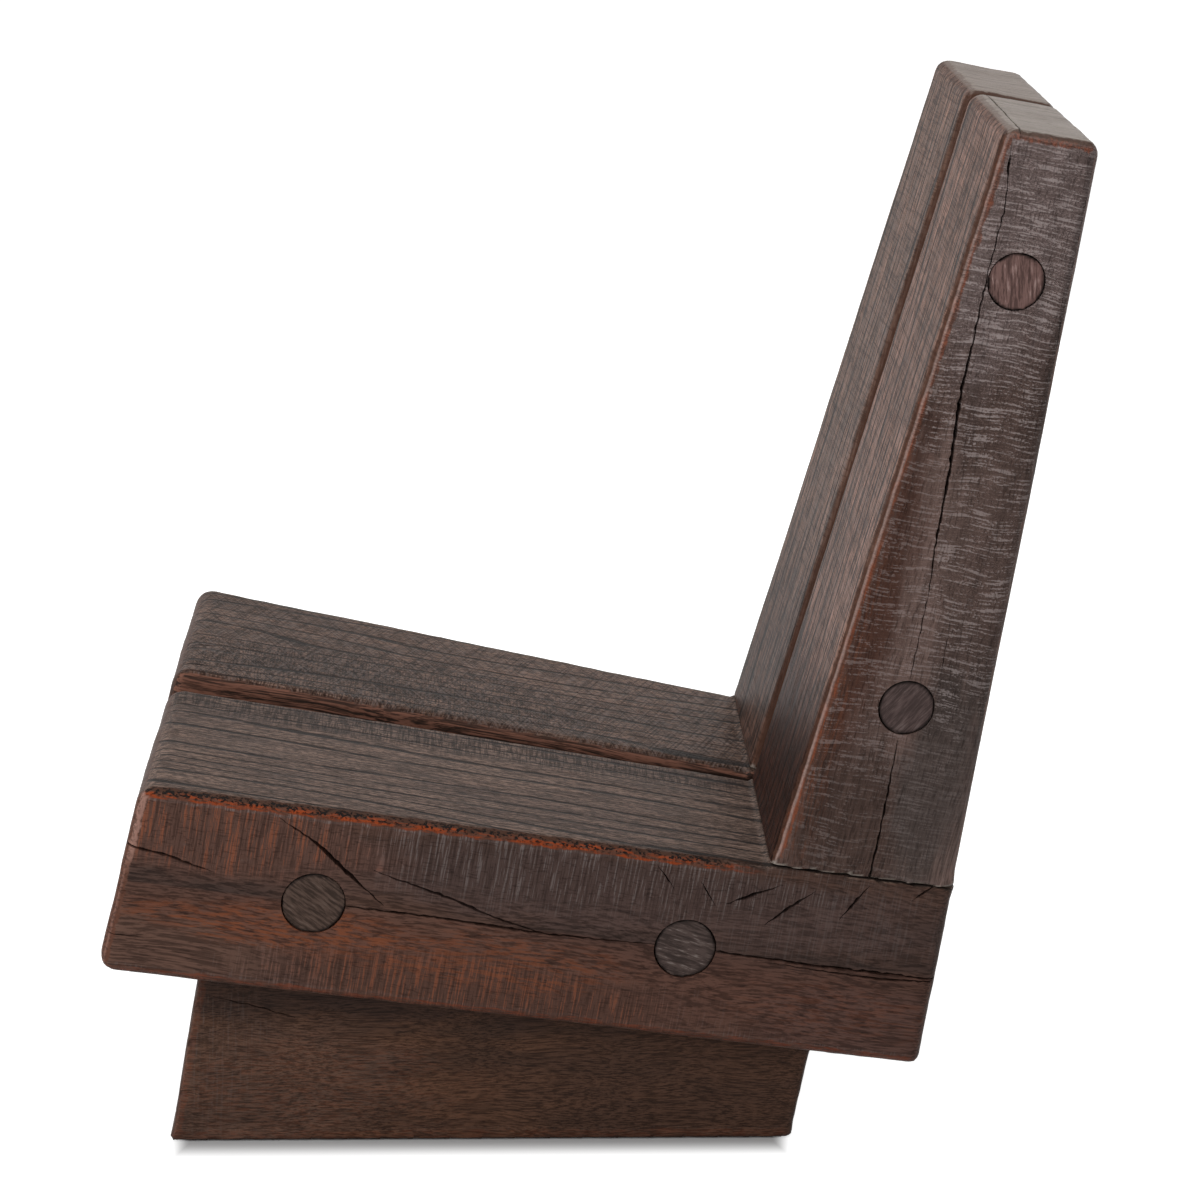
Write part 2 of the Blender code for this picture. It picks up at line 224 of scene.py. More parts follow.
def edge_radius(kind, faces, covered):
    if SHARP_FACE[kind] in faces or ("sit" in faces and covered):
        return 0
    if kind == "seat" and faces in ({"head", "sit"}, {"head", "under"}):
        return FRONT_ROUND
    if kind == "base" and "under" in faces:
        return FLOOR_ROUND
    return EDGE_ROUND[kind]


def round_edges(block, kind, cuts):
    if kind == "seat":
        saw(seat_point(FOOT_START), SEAT_ALONG, through=True)
    mesh = block.data
    places = vertex_places(mesh)
    names = list(cuts)
    weights = mesh.attributes.new("bevel_weight_edge", "FLOAT", "EDGE")
    for edge in mesh.edges:
        middle = places[list(edge.vertices)].mean(axis=0)
        depth = distances(middle[None, :], cuts)[0]
        first, second = np.argsort(depth)[:2]
        if depth[second] > ON_FACE:
            continue
        radius = edge_radius(kind, {names[first], names[second]}, under_foot(kind, middle))
        weights.data[edge.index].value = radius / FRONT_ROUND
    apply_modifier(block, "BEVEL", limit_method="WEIGHT", width=FRONT_ROUND, segments=4)


print("Front edges are rounded by", FRONT_ROUND, "m")

# %% [markdown]
# ## Hand-worn faces
# No face of an old beam is flat. A voxel remesh gives the block an even skin of small faces, and
# Displace modifiers press that skin in by about a millimetre, in long soft waves, and nibble at the
# edges. Their cloud pattern reads a stretched empty, so the waves follow the grain. All of it goes
# inwards, so a timber never grows past its CAD solid, and the faces of a joint stay flat.

# %% Wear the skin
VOXEL = 0.003
RIM_REACH = 0.010
JOINT_ZONE = 0.012
EDGE_ZONE, FREE_ZONE = "edge zone", "free zone"
# For each kind of hollow: its seed step, its size, depth and stretch, and where it goes.
HOLLOWS = (
    (0, 0.09, 0.0016, 4, FREE_ZONE),
    (3, 0.022, 0.0009, 3, FREE_ZONE),
    (7, 0.018, 0.0013, 2, EDGE_ZONE),
)
BACK_TURN = math.radians(-81.1)
GUIDE_STEP = Vector((0.37, 0.61, 0.23))


def timber_frame(kind):
    """Origin and turn of a timber: its own X runs along the grain, Z out of the sitting face."""
    return {"seat": (seat_point(0), SEAT_TILT), "back": (seat_point(SIT_LENGTH), BACK_TURN),
            "base": (Vector((FRONT_X, 0, 0)), 0)}[kind]


def press_in(block, kind, seed, size, depth, stretch, group=""):
    origin, turn = timber_frame(kind)
    guide = bpy.data.objects.new("grain guide", None)
    bpy.context.scene.collection.objects.link(guide)
    guide.location = origin + GUIDE_STEP * seed
    guide.rotation_euler = (0, turn, 0)
    guide.scale = (stretch, 1, 1)
    clouds = bpy.data.textures.new("worn hollows", "CLOUDS")
    clouds.noise_scale = size
    clouds.noise_depth = 2
    bpy.context.view_layer.update()
    apply_modifier(block, "DISPLACE", texture=clouds, texture_coords="OBJECT", texture_coords_object=guide,
                   mid_level=1, strength=depth, vertex_group=group)
    bpy.data.objects.remove(guide)
    bpy.data.textures.remove(clouds)


def joint_distance(kind, places, cuts):
    """How far each point lies from the face by which its timber is joined or stands."""
    depth = dict(zip(cuts, distances(places, cuts).T))
    if kind == "back":
        return depth["tail"]
    if kind == "seat":
        return np.where(under_foot(kind, places), depth["sit"], 1)
    return np.minimum(depth["sit"], depth["under"])


def fill_group(block, name, weights, levels=20):
    group = block.vertex_groups.new(name=name)
    steps = np.round(weights * levels).astype(int)
    for step in range(1, levels + 1):
        group.add(np.nonzero(steps == step)[0].tolist(), step / levels, "REPLACE")


def wear_skin(block, kind, cuts, seed):
    apply_modifier(block, "REMESH", mode="VOXEL", voxel_size=VOXEL)
    places = vertex_places(block.data)
    depth = np.sort(distances(places, cuts), axis=1)
    rim = np.clip((RIM_REACH - depth[:, 1]) / RIM_REACH, 0, 1)
    free = np.clip(joint_distance(kind, places, cuts) / JOINT_ZONE, 0, 1)
    fill_group(block, FREE_ZONE, free)
    fill_group(block, EDGE_ZONE, rim * free)
    for step, *shape, zone in HOLLOWS:
        press_in(block, kind, seed + step, *shape, zone)
    block.vertex_groups.clear()


print("Skin made of faces about", VOXEL, "m wide")

# %% [markdown]
# ## Boring, splitting and chipping
# Bores, splits and chips are cut with Boolean modifiers. A bore is a cylinder, a chip a dented ball.
# A split is a thin blade that follows the line of the crack: a poly curve with a radius at every
# point, so that it opens and closes, given a four-sided section, turned to a mesh and stretched into
# the wood. The line is walked in short steps that wander a little, as split fibre does. Splits and
# chips are written in tenths of a millimetre.

# %% Cut and bore
def cut_away(block, cutter):
    before = len(block.data.vertices)
    apply_modifier(block, "BOOLEAN", operation="DIFFERENCE", solver="MANIFOLD", object=cutter)
    if len(block.data.vertices) < before / 2:
        print("Warning: a cut removed too much of", block.name)
    bpy.data.objects.remove(cutter)


def bore(block, centre, axis, radius, length):
    turn = Vector(axis).to_track_quat("Z", "Y").to_euler()
    bpy.ops.mesh.primitive_cylinder_add(
        vertices=64, radius=radius, depth=length, location=centre, rotation=turn)
    cutter = bpy.context.object
    bpy.ops.object.transform_apply(location=True, rotation=True, scale=True)
    cut_away(block, cutter)


def face_half_width(kind, x):
    return FRONT_WIDTH / 2 - INSETS[kind] - OUTER_SLOPE * (x - FRONT_X)


def select_only(piece):
    bpy.ops.object.select_all(action="DESELECT")
    piece.select_set(True)
    bpy.context.view_layer.objects.active = piece


print("Half width of the seat in front:", face_half_width("seat", FRONT_X))

# %% Blades for the splits
OUTER_FACE, SIT_FACE, HEAD_FACE = "outer", "sit", "head"
TENTHS = 10000
STEP, WANDER = 0.004, 0.0005
WIDTH_SPREAD = (0.65, 1.3)
BLADE_SECTION = 0.001


def walk(route, seed):
    dice = random.Random(seed)
    route = [[number / TENTHS for number in point] for point in route]
    points = []
    for (u0, v0, r0), (u1, v1, r1) in zip(route, route[1:]):
        count = max(2, round(math.hypot(u1 - u0, v1 - v0) / STEP))
        for number in range(count):
            part = number / count
            points.append((
                u0 + (u1 - u0) * part,
                v0 + (v1 - v0) * part + dice.uniform(-WANDER, WANDER),
                (r0 + (r1 - r0) * part) * dice.uniform(*WIDTH_SPREAD)))
    points.append(route[-1])
    return points


def make_blade(face, points):
    curve = bpy.data.curves.new("split line", "CURVE")
    curve.dimensions = "3D"
    curve.bevel_depth = BLADE_SECTION
    curve.bevel_resolution = 0
    curve.use_fill_caps = True
    line = curve.splines.new("POLY")
    line.points.add(len(points) - 1)
    for spot, (u, v, half_width) in zip(line.points, points):
        spot.co = (u, 0, v, 1) if face == OUTER_FACE else (u, v, 0, 1)
        spot.radius = half_width / curve.bevel_depth
    blade = bpy.data.objects.new("split blade", curve)
    bpy.context.scene.collection.objects.link(blade)
    select_only(blade)
    bpy.ops.object.convert(target="MESH")
    bpy.ops.object.mode_set(mode="EDIT")
    bpy.ops.mesh.select_all(action="SELECT")
    bpy.ops.mesh.remove_doubles(threshold=0.000001)
    bpy.ops.mesh.normals_make_consistent(inside=False)
    bpy.ops.object.mode_set(mode="OBJECT")
    return bpy.context.object


print("A blade takes a step every", STEP, "m")

# %% Split and chip
DEEPEN = 9
FLAKE_SPREAD = (0.88, 1.08)


def split(block, kind, side, face, route, seed):
    blade = make_blade(face, walk(route, seed))
    origin, turn = timber_frame(kind)
    lay = Matrix.Rotation(turn, 3, "Y")
    top_start = SIT_LENGTH + BACK_HEIGHT * math.tan(HEADS["back"] - SEAT_TILT)
    for vertex in blade.data.vertices:
        u, v, w = vertex.co
        if face == OUTER_FACE:
            place = origin + lay @ Vector((u, 0, w))
            place.y = side * face_half_width(kind, place.x) + v * DEEPEN
        elif face == SIT_FACE:
            place = origin + lay @ Vector((u, v, w * DEEPEN))
        else:
            place = seat_point(top_start + v, BACK_HEIGHT + w * DEEPEN) - ACROSS * u
        vertex.co = place
    cut_away(block, blade)


def chip(block, kind, side, u, w, size, seed):
    """Breaks a shell-shaped flake out of the outer face or its edge."""
    origin, turn = timber_frame(kind)
    lay = Matrix.Rotation(turn, 3, "Y")
    bpy.ops.mesh.primitive_ico_sphere_add(subdivisions=3, radius=1)
    flake = bpy.context.object
    dice = random.Random(seed)
    centre = origin + lay @ Vector((u / TENTHS, 0, w / TENTHS))
    centre.y = side * face_half_width(kind, centre.x)
    for vertex in flake.data.vertices:
        grown = Vector(vertex.co) * dice.uniform(*FLAKE_SPREAD)
        vertex.co = centre + lay @ Vector([g * (s / TENTHS) for g, s in zip(grown, size)])
    cut_away(block, flake)


print("A split is", DEEPEN, "times as deep as wide")

# %% [markdown]
# ## What the finish must know
# The finish has to know where an edge is worn and where a crack is deep. A skin of the uncut timber
# is kept, and after the cuts every point is measured against it and against the six cuts. The
# results are stored as attributes on the points: rim for the edges, pit for the cracks, whose dark is
# painted shade, one for each kind of face, glow for edges that are rubbed red, and a last weight for
# edges that are rubbed russet and carry a painted pale highlight.

# %% Measure the finished timber
RIM_EDGE, RIM_FADE = 0.013, 0.011
PIT_START, PIT_FADE = 0.0003, 0.0016
FOOT_FADE = 0.05
SIDE_FACES = {"sit": ("sit",), "under": ("under",), "end": ("head", "tail"), "side": ("outer",),
              "gap": ("gap",)}
# For each edge: how much it glows red, and how much it is rubbed russet and lit by a painted pale
# highlight.
EDGE_WEAR = {
    "seat": {"outer sit": (1, 0), "head outer": (0, 1), "outer under": (0.35, 0),
             "gap sit": (0, 0.15), "head sit": (0, 0.1)},
    "back": {"outer sit": (0.8, 0.9), "head outer": (0.85, 0.3), "gap sit": (0.6, 0.35),
             "head sit": (0.45, 0.1), "gap head": (0.95, 0), "head under": (0.3, 0)},
    "base": {"head outer": (0.15, 0.15), "outer under": (0.1, 0)},
}


def keep_skin(block):
    mesh = block.data
    places = [tuple(v.co) for v in mesh.vertices]
    return BVHTree.FromPolygons(places, [tuple(p.vertices) for p in mesh.polygons])


def store(mesh, name, values):
    attribute = mesh.attributes.new(name, "FLOAT", "POINT")
    attribute.data.foreach_set("value", np.asarray(values, np.float32))


def measure(block, kind, cuts, skin):
    mesh = block.data
    places = vertex_places(mesh)
    depth = distances(places, cuts)
    order = np.argsort(depth, axis=1)
    below = np.array([skin.find_nearest(Vector(p))[3] for p in places])
    store(mesh, "rim", np.clip((RIM_EDGE - np.sort(depth, axis=1)[:, 1]) / RIM_FADE, 0, 1))
    store(mesh, "pit", np.clip((below - PIT_START) / PIT_FADE, 0, 1))
    names = list(cuts)
    for label, faces in SIDE_FACES.items():
        wanted = [names.index(face) for face in faces]
        store(mesh, label, np.isin(order[:, 0], wanted).astype(float))
    bare = np.clip((SIT_LENGTH - along_seat(places)) / FOOT_FADE, 0, 1)
    glow, blush = np.zeros(len(places)), np.zeros(len(places))
    for pair, (red, pale) in EDGE_WEAR[kind].items():
        wanted = np.sort([names.index(face) for face in pair.split()])
        here = (np.sort(order[:, :2], axis=1) == wanted).all(axis=1)
        share = bare[here] if "sit" in pair and kind == "seat" else 1
        glow[here] = red * share
        blush[here] = pale * share
    store(mesh, "glow", glow)
    store(mesh, "blush", blush)


def smooth_faces(piece):
    select_only(piece)
    bpy.ops.object.shade_smooth_by_angle(angle=math.radians(38))


print("Attributes: rim, pit, glow, blush,", ", ".join(SIDE_FACES))

# %% [markdown]
# ## Where the timbers are split and chipped
# Every old beam has drying checks. These follow the photographed sides: each line is a row of
# (along, up, half width), measured from the timber's own corner, and a chip is its place along and
# up with its three half sizes. The far timbers get a few of their own, so that the chair is worn all
# round.

# %% Splits of the near seat timber
SEAT_SPLITS = (
    ((1745, -797, 8), (2352, -796, 12), (3422, -824, 12), (4290, -800, 5)),
    ((4793, -797, 10), (5515, -812, 15), (6199, -814, 14), (6720, -808, 8)),
    ((5181, -837, 3), (5951, -862, 10), (6210, -867, 12), (6720, -826, 7)),
    ((1120, -120, 3), (1446, -291, 15), (1693, -483, 18), (2061, -756, 3)),
    ((1932, -468, 4), (2480, -595, 13), (2997, -747, 12), (3382, -829, 3)),
    ((-60, -500, 12), (272, -544, 14), (559, -617, 9), (682, -643, 2)),
    ((4792, -378, 3), (5000, -270, 19), (5225, -153, 3)),
    ((5141, -519, 3), (5320, -340, 19), (5506, -168, 3)),
    ((5748, -386, 3), (5840, -230, 16), (5934, -67, 3)),
    ((6310, -151, 3), (6390, -70, 13), (6464, 3, 4)),
    ((4153, -101, 2), (4260, -200, 9), (4363, -320, 2)),
    ((4549, -207, 2), (4630, -300, 9), (4714, -406, 2)),
    ((-136, -1261, 8), (60, -1270, 7), (257, -1245, 2)),
)
print("Near seat timber:", len(SEAT_SPLITS), "splits")

# %% Splits of the near back and base timbers
BACK_SPLITS = (
    ((6165, -470, 3), (5980, -485, 5), (5900, -495, 14), (5800, -515, 5),
     (5583, -550, 6), (5025, -549, 8), (4545, -568, 12),
     (4139, -574, 17), (3493, -641, 17), (2792, -688, 9), (2503, -728, 5),
     (1996, -748, 6), (1739, -754, 3)),
    ((1224, -782, 4), (705, -819, 10), (18, -846, 12)),
    ((2415, -951, 2), (1951, -986, 5), (1695, -1001, 2)),
    ((4984, -1175, 3), (4680, -1230, 7), (4353, -1278, 2)),
    ((6094, -1138, 3), (5783, -1165, 6), (4750, -1221, 6), (4186, -1264, 2)),
)
BACK_TOP_SPLITS = (
    ((2120, 140, 10), (1500, 135, 9), (800, 140, 8), (0, 135, 8)),
)
BASE_SPLITS = (
    ((605, 1289, 3), (969, 1201, 9), (1378, 1067, 2)),
)
print("Near back timber:", len(BACK_SPLITS), "splits")

# %% Splits of the far timbers
FAR_SEAT_SPLITS = (
    ((200, -600, 8), (1200, -640, 10), (2400, -600, 3)),
    ((4000, -900, 3), (5200, -940, 12), (6680, -900, 6)),
)
FAR_SEAT_TOP_SPLITS = (
    ((51, 947, 6), (220, 990, 10), (403, 1052, 2)),
    ((54, 438, 5), (180, 441, 8), (320, 440, 2)),
)
FAR_BACK_SPLITS = (
    ((5800, -700, 4), (4500, -760, 12), (2800, -740, 3)),
    ((1200, -1000, 4), (600, -1040, 9), (40, -1030, 10)),
)
FAR_BASE_SPLITS = (
    ((1000, 700, 3), (2400, 740, 9), (4200, 690, 3)),
)
print("Far seat timber:", len(FAR_SEAT_SPLITS), "splits")

# %% All splits and chips
# For each timber: the faces that are split, the first seed there, and the splits.
SPLITS = {
    ("seat", LEFT): ((OUTER_FACE, 0, SEAT_SPLITS),),
    ("back", LEFT): ((OUTER_FACE, 0, BACK_SPLITS), (HEAD_FACE, 60, BACK_TOP_SPLITS)),
    ("base", LEFT): ((OUTER_FACE, 0, BASE_SPLITS),),
    ("seat", RIGHT): ((OUTER_FACE, 0, FAR_SEAT_SPLITS), (SIT_FACE, 50, FAR_SEAT_TOP_SPLITS)),
    ("back", RIGHT): ((OUTER_FACE, 0, FAR_BACK_SPLITS),),
    ("base", RIGHT): ((OUTER_FACE, 0, FAR_BASE_SPLITS),),
}
CHIPS = {
    ("seat", LEFT): ((40, -905, (160, 30, 26)), (0, -40, (60, 50, 50))),
    ("back", LEFT): ((2744, -120, (40, 70, 80)), (2480, -1440, (120, 60, 30))),
    ("base", LEFT): ((460, 870, (120, 40, 50)), (400, 420, (140, 40, 50)),
                     (450, 1180, (90, 40, 40))),
    ("seat", RIGHT): ((3300, 0, (140, 50, 30)),),
    ("back", RIGHT): ((4200, -60, (100, 60, 40)),),
    ("base", RIGHT): ((500, 600, (100, 40, 50)),),
}
print("Chips in all:", sum(len(chips) for chips in CHIPS.values()))

# %% [markdown]
# ## Making the six timbers
# Each timber is sawn, rounded, worn, chipped, bored for its dowels and bolts, split, and measured.
# The bolt heads sit in round wells that open downwards, so those wells are cut too: the chair can
# be turned over and still makes sense.

# %% Dowel places and bolt wells
SEAT_DOWEL_RADIUS, BACK_DOWEL_RADIUS = 0.0255, 0.023
RING_GAP = 0.0001
BORE_LENGTH = 0.8
WELL_RADIUS, WELL_LENGTH = 0.018, 0.2
HALF_WASHER = 0.0016
NAMES = {LEFT: "left", RIGHT: "right"}
DOWELS = {
    "seat_dowel_front": ("seat", SEAT_DOWEL_RADIUS),
    "seat_dowel_rear": ("seat", SEAT_DOWEL_RADIUS),
    "back_dowel_lower": ("back", BACK_DOWEL_RADIUS),
    "back_dowel_upper": ("back", BACK_DOWEL_RADIUS),
}


def box_middle(node):
    low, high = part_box(node)
    return (low + high) / 2


def bore_for_hardware(block, kind, side):
    for node, (timber, radius) in DOWELS.items():
        if timber == kind:
            bore(block, box_middle(node), ACROSS, radius + RING_GAP, BORE_LENGTH)
    wells = {
        "seat": (("back_washer_" + NAMES[side], SEAT_UP),),
        "back": (),
        "base": [("base_washer_" + NAMES[side] + end, Vector((0, 0, 1))) for end in ("_front", "_rear")],
    }
    for washer, up in wells[kind]:
        top = box_middle(washer) + up * HALF_WASHER
        bore(block, top - up * WELL_LENGTH / 2, up, WELL_RADIUS, WELL_LENGTH)


print("Dowels:", ", ".join(DOWELS))

# %% Make the timbers
SEED_STEP, CHIP_START = 100, 80
timbers = {}
SEEDS = {("seat", LEFT): 1, ("seat", RIGHT): 2, ("back", LEFT): 3,
         ("back", RIGHT): 4, ("base", LEFT): 5, ("base", RIGHT): 6}
for (kind, side), seed in SEEDS.items():
    cuts = timber_cuts(kind, side)
    block = saw_block("worn_" + kind + "_timber_" + NAMES[side], cuts)
    round_edges(block, kind, cuts)
    wear_skin(block, kind, cuts, seed)
    for number, (u, w, size) in enumerate(CHIPS[kind, side]):
        chip(block, kind, side, u, w, size, seed * SEED_STEP + CHIP_START + number)
    skin = keep_skin(block)
    bore_for_hardware(block, kind, side)
    for face, start, routes in SPLITS[kind, side]:
        for number, route in enumerate(routes):
            split(block, kind, side, face, route, seed * SEED_STEP + start + number)
    measure(block, kind, cuts, skin)
    smooth_faces(block)
    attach(block, "root")
    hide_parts(kind + "_timber_" + NAMES[side])
    timbers[kind, side] = block
    print(block.name, len(block.data.polygons), "faces")

# %% [markdown]
# ## The cross dowels
# A dowel is a round peg driven through both timbers and sawn off flush, so its ends follow the
# tapered sides. The peg starts as a cylinder, two cuts make the slanted ends, and a Displace
# modifier makes it a little out of round, so the dark ring round it is broken, as on the real one.

# %% Make a dowel
DOWEL_SUNK = 0.0012
DOWEL_VOXEL = 0.0022
DOWEL_HOLLOWS = (0.020, 0.0011, 1)
DOWEL_SEED = 11
RING_REACH, RING_FADE = 0.0030, 0.0015


def make_dowel(node, radius, seed):
    centre = box_middle(node)
    bpy.ops.mesh.primitive_cylinder_add(
        vertices=96, radius=radius, depth=BORE_LENGTH, location=(centre.x, 0, centre.z),
        rotation=(math.pi / 2, 0, 0))
    peg = bpy.context.object
    peg.name = "worn_" + node
    bpy.ops.object.transform_apply(location=True, rotation=True, scale=True)
    for side in (LEFT, RIGHT):
        point, normal = side_cuts(side, 0)["outer"]
        saw(point - normal * DOWEL_SUNK, normal)
    apply_modifier(peg, "REMESH", mode="VOXEL", voxel_size=DOWEL_VOXEL)
    press_in(peg, "seat", seed, *DOWEL_HOLLOWS)
    return peg


pegs = {}
for number, (node, (timber, radius)) in enumerate(DOWELS.items()):
    peg = make_dowel(node, radius, DOWEL_SEED + number)
    centre = box_middle(node)
    places = vertex_places(peg.data)
    away = np.hypot(places[:, 0] - centre.x, places[:, 2] - centre.z)
    store(peg.data, "rim", np.clip((away - radius + RING_REACH) / RING_FADE, 0, 1))
    smooth_faces(peg)
    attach(peg, "root")
    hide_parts(node)
    pegs[node] = peg
    print(peg.name, len(peg.data.polygons), "faces")

# %% [markdown]
# ## Small tools for the finishes
# A finish is a tree of shader nodes. A small class keeps it readable: node adds a node and plugs in
# values or links, and the other methods are short names for steps that come again and again. Noise
# is always stretched by a vector first, because wood is long in one direction.

# %% Node helpers
class Wires:
    def __init__(self, tree):
        self.tree = tree

    def plug(self, value, socket):
        if isinstance(value, bpy.types.NodeSocket):
            self.tree.links.new(value, socket)
        else:
            socket.default_value = value

    def node(self, kind, inputs=None, **settings):
        made = self.tree.nodes.new("ShaderNode" + kind)
        for name, value in settings.items():
            setattr(made, name, value)
        for name, value in (inputs or {}).items():
            self.plug(value, made.inputs[name])
        return made.outputs

    def maths(self, operation, *values, clamp=False):
        return self.node("Math", dict(enumerate(values)), operation=operation, use_clamp=clamp)[0]

    def times(self, value, *factors):
        for factor in factors:
            value = self.maths("MULTIPLY", value, factor)
        return value

    def times_plus(self, value, factor, start, clamp=False):
        return self.maths("MULTIPLY_ADD", value, factor, start, clamp=clamp)

    def minus(self, value, other):
        return self.maths("SUBTRACT", value, other)

    def largest(self, value, *others):
        for other in others:
            value = self.maths("MAXIMUM", value, other)
        return value

    def vector(self, operation, *values, out="Vector"):
        return self.node("VectorMath", dict(enumerate(values)), operation=operation)[out]

    def between(self, value, low, high):
        """0 at low, 1 at high, smooth in between."""
        return self.node("MapRange", {"Value": value, "From Min": low, "From Max": high},
                         interpolation_type="SMOOTHSTEP")[0]

    def mix(self, amount, under, over, kind="MIX"):
        return self.node("Mix", {0: amount, 6: under, 7: over}, data_type="RGBA", blend_type=kind)[2]

    def mix_value(self, amount, under, over):
        return self.node("Mix", {0: amount, 2: under, 3: over}, data_type="FLOAT")[0]

    def noise(self, vector, stretch, detail=2, roughness=0.5, out=0):
        return self.node("TexNoise", {"Vector": self.vector("MULTIPLY", vector, stretch), "Scale": 1,
                                      "Detail": detail, "Roughness": roughness})[out]

    def attribute(self, name):
        return self.node("Attribute", attribute_name=name)["Fac"]

    def group(self, group, **inputs):
        return self.node("Group", inputs, node_tree=group)


def open_group(name, **inputs):
    tree = bpy.data.node_groups.new(name, "ShaderNodeTree")
    for label, default in inputs.items():
        kind = "NodeSocketVector" if isinstance(default, tuple) else "NodeSocketFloat"
        tree.interface.new_socket(label, in_out="INPUT", socket_type=kind).default_value = default
    return Wires(tree), tree.nodes.new("NodeGroupInput").outputs


def close_group(w, **results):
    for label in results:
        w.tree.interface.new_socket(label, in_out="OUTPUT", socket_type="NodeSocketFloat")
    outlet = w.tree.nodes.new("NodeGroupOutput").inputs
    for label, value in results.items():
        w.plug(value, outlet[label])
    print("Group:", w.tree.name)
    return w.tree


ZERO = (0, 0, 0)
print("Node helpers ready")

# %% [markdown]
# ## Grain
# Grain is fibre seen along its length. The group first bends the space a little, so lines wander,
# then gives five masks: fine fibre, longer flames, short dark pores, thin growth lines and broad
# bands. It reads a solid pattern, so the grain runs on over every edge, as in a real beam.

# %% Grain group
w, inlet = open_group("timber grain", Vector=ZERO, Rings=1)
straight = inlet["Vector"]
bent = w.vector("MULTIPLY_ADD", w.noise(straight, (5, 9, 9), 1, out=1), (0, 0.022, 0.022), straight)
across = w.vector("DOT_PRODUCT", straight, (0, 44, 33), out="Value")
rings = w.times_plus(w.noise(straight, (1.8, 15, 15), 1.5), 3.6, across)
turns = w.maths("FRACT", w.times(rings, inlet["Rings"]))
line = w.between(w.maths("ABSOLUTE", w.minus(turns, 0.5)), 0.105, 0.055)
broken = w.between(w.noise(bent, (30, 160, 160), 3, 0.65), 0.32, 0.45)
grain_group = close_group(
    w,
    Fibre=w.noise(bent, (14, 480, 480), 3, 0.65),
    Flame=w.noise(bent, (36, 400, 400), 4, 0.65),
    Pore=w.between(w.noise(bent, (90, 800, 800), 1), 0.58, 0.66),
    Line=w.times(line, broken),
    Band=w.noise(bent, (3.5, 30, 30), 3, 0.6))

# %% [markdown]
# ## Saw marks
# The beams were sawn rough, and wax has filled the marks. They stand square to the grain as fine
# uneven strokes. The group takes a vector whose X runs across the strokes, and puts out strokes that
# are pale and strokes that are deep, each broken up along its length.

# %% Saw mark group
w, inlet = open_group("saw marks", Vector=ZERO, Spacing=(300, 10, 10))
stroke = w.noise(inlet["Vector"], inlet["Spacing"], 3, 0.65)
saw_group = close_group(
    w, Pale=w.between(stroke, 0.55, 0.59), Deep=w.between(stroke, 0.455, 0.415), Height=stroke)

# %% [markdown]
# ## Wax ridges
# The back's sides are the roughest: short wavy ridges cross the grain, thick with wax. The group
# gives the ridge as a bump, painted shade in the hollow beside it and a painted highlight on its crest.

# %% Wax ridge group
w, inlet = open_group("wax ridges", Vector=ZERO)
straight = inlet["Vector"]
sway = w.times(w.noise(straight, (8, 9, 16), 1), 0.014)
wavy = w.vector("ADD", straight, w.node("CombineXYZ", {"X": sway})[0])
ridge = w.noise(wavy, (560, 12, 42), 2, 0.55)
crumb = w.noise(straight, (680, 30, 420), 2, 0.6)
crest = w.times_plus(w.minus(crumb, 0.5), 0.55, ridge)
ridge_group = close_group(w, Ridge=w.between(crest, 0.42, 0.58), Hollow=w.between(crest, 0.45, 0.40),
                          Gleam=w.between(crest, 0.56, 0.61))

# %% [markdown]
# ## Ragged patches and worn edges
# Where hands and cloth have rubbed, the dark stain is gone and red wood shows. A patch is a stretched
# ball with a ragged border. A worn edge takes the rim attribute, breaks it with noise, and adds the
# small black specks of old wax that stay in its hollows. It also gives a thin painted highlight along
# the round of the edge, and a pale fringe of wax on the border of the band, painted brighter as a glint.

# %% Patch and edge groups
w, inlet = open_group("ragged patch", Vector=ZERO, Centre=ZERO, Size=(0.1, 1, 0.05), Rag=0.5)
sized = w.vector("DIVIDE", w.vector("SUBTRACT", inlet["Vector"], inlet["Centre"]), inlet["Size"])
frayed = w.times_plus(w.minus(inlet["Rag"], 0.5), 1.1, w.vector("LENGTH", sized, out="Value"))
patch_group = close_group(w, Mask=w.between(frayed, 1.1, 0.5))

w, inlet = open_group("worn edge", Vector=ZERO, Rim=0, Turn=0)
turn = inlet["Turn"]
torn = w.minus(w.noise(inlet["Vector"], (70, 120, 120), 4, 0.65), 0.5)
worn = w.times_plus(torn, 0.8, inlet["Rim"])
steady = w.times_plus(torn, 0.14, turn)
specks = w.between(w.noise(inlet["Vector"], (300, 420, 420), 2, 0.6), 0.52, 0.57)
edge_group = close_group(
    w,
    Wear=w.between(worn, 0.30, 0.48),
    Ember=w.between(w.times_plus(torn, 1.2, turn), 0.36, 0.66),
    Speck=w.times(specks, w.between(turn, 0.08, 0.30), w.between(turn, 0.90, 0.60)),
    # A thin painted highlight along the round of the edge.
    Shine=w.times(w.between(steady, 0.42, 0.54), w.between(steady, 0.74, 0.58)),
    # A pale fringe of wax on the band's border, painted brighter as a glint.
    Fringe=w.times(w.between(worn, 0.10, 0.24), w.between(worn, 0.46, 0.32), w.between(turn, 0.75, 0.9)))

# %% [markdown]
# ## The timber finish
# Every timber gets its own look: its tones, where it is rubbed red, where saw marks and ridges show.
# A small class holds a finish while it grows, and five steps lay the colours in the order in which
# they came to be on the real wood, with painted light laid in among them: the wood and its fibre, saw
# strokes, ridges and grain, the ends, and last worn edges and cracks. The painted light is a grey sheen
# on the faces that are sat on, highlights on ridge crests and rounded edges, and shade in the ridge
# hollows, in the cracks and low on the back. Colours are written in thousandths and patches in millimetres.

# %% Colours of the timbers
def paint(red, green, blue):
    return (red / 1000, green / 1000, blue / 1000, 1)


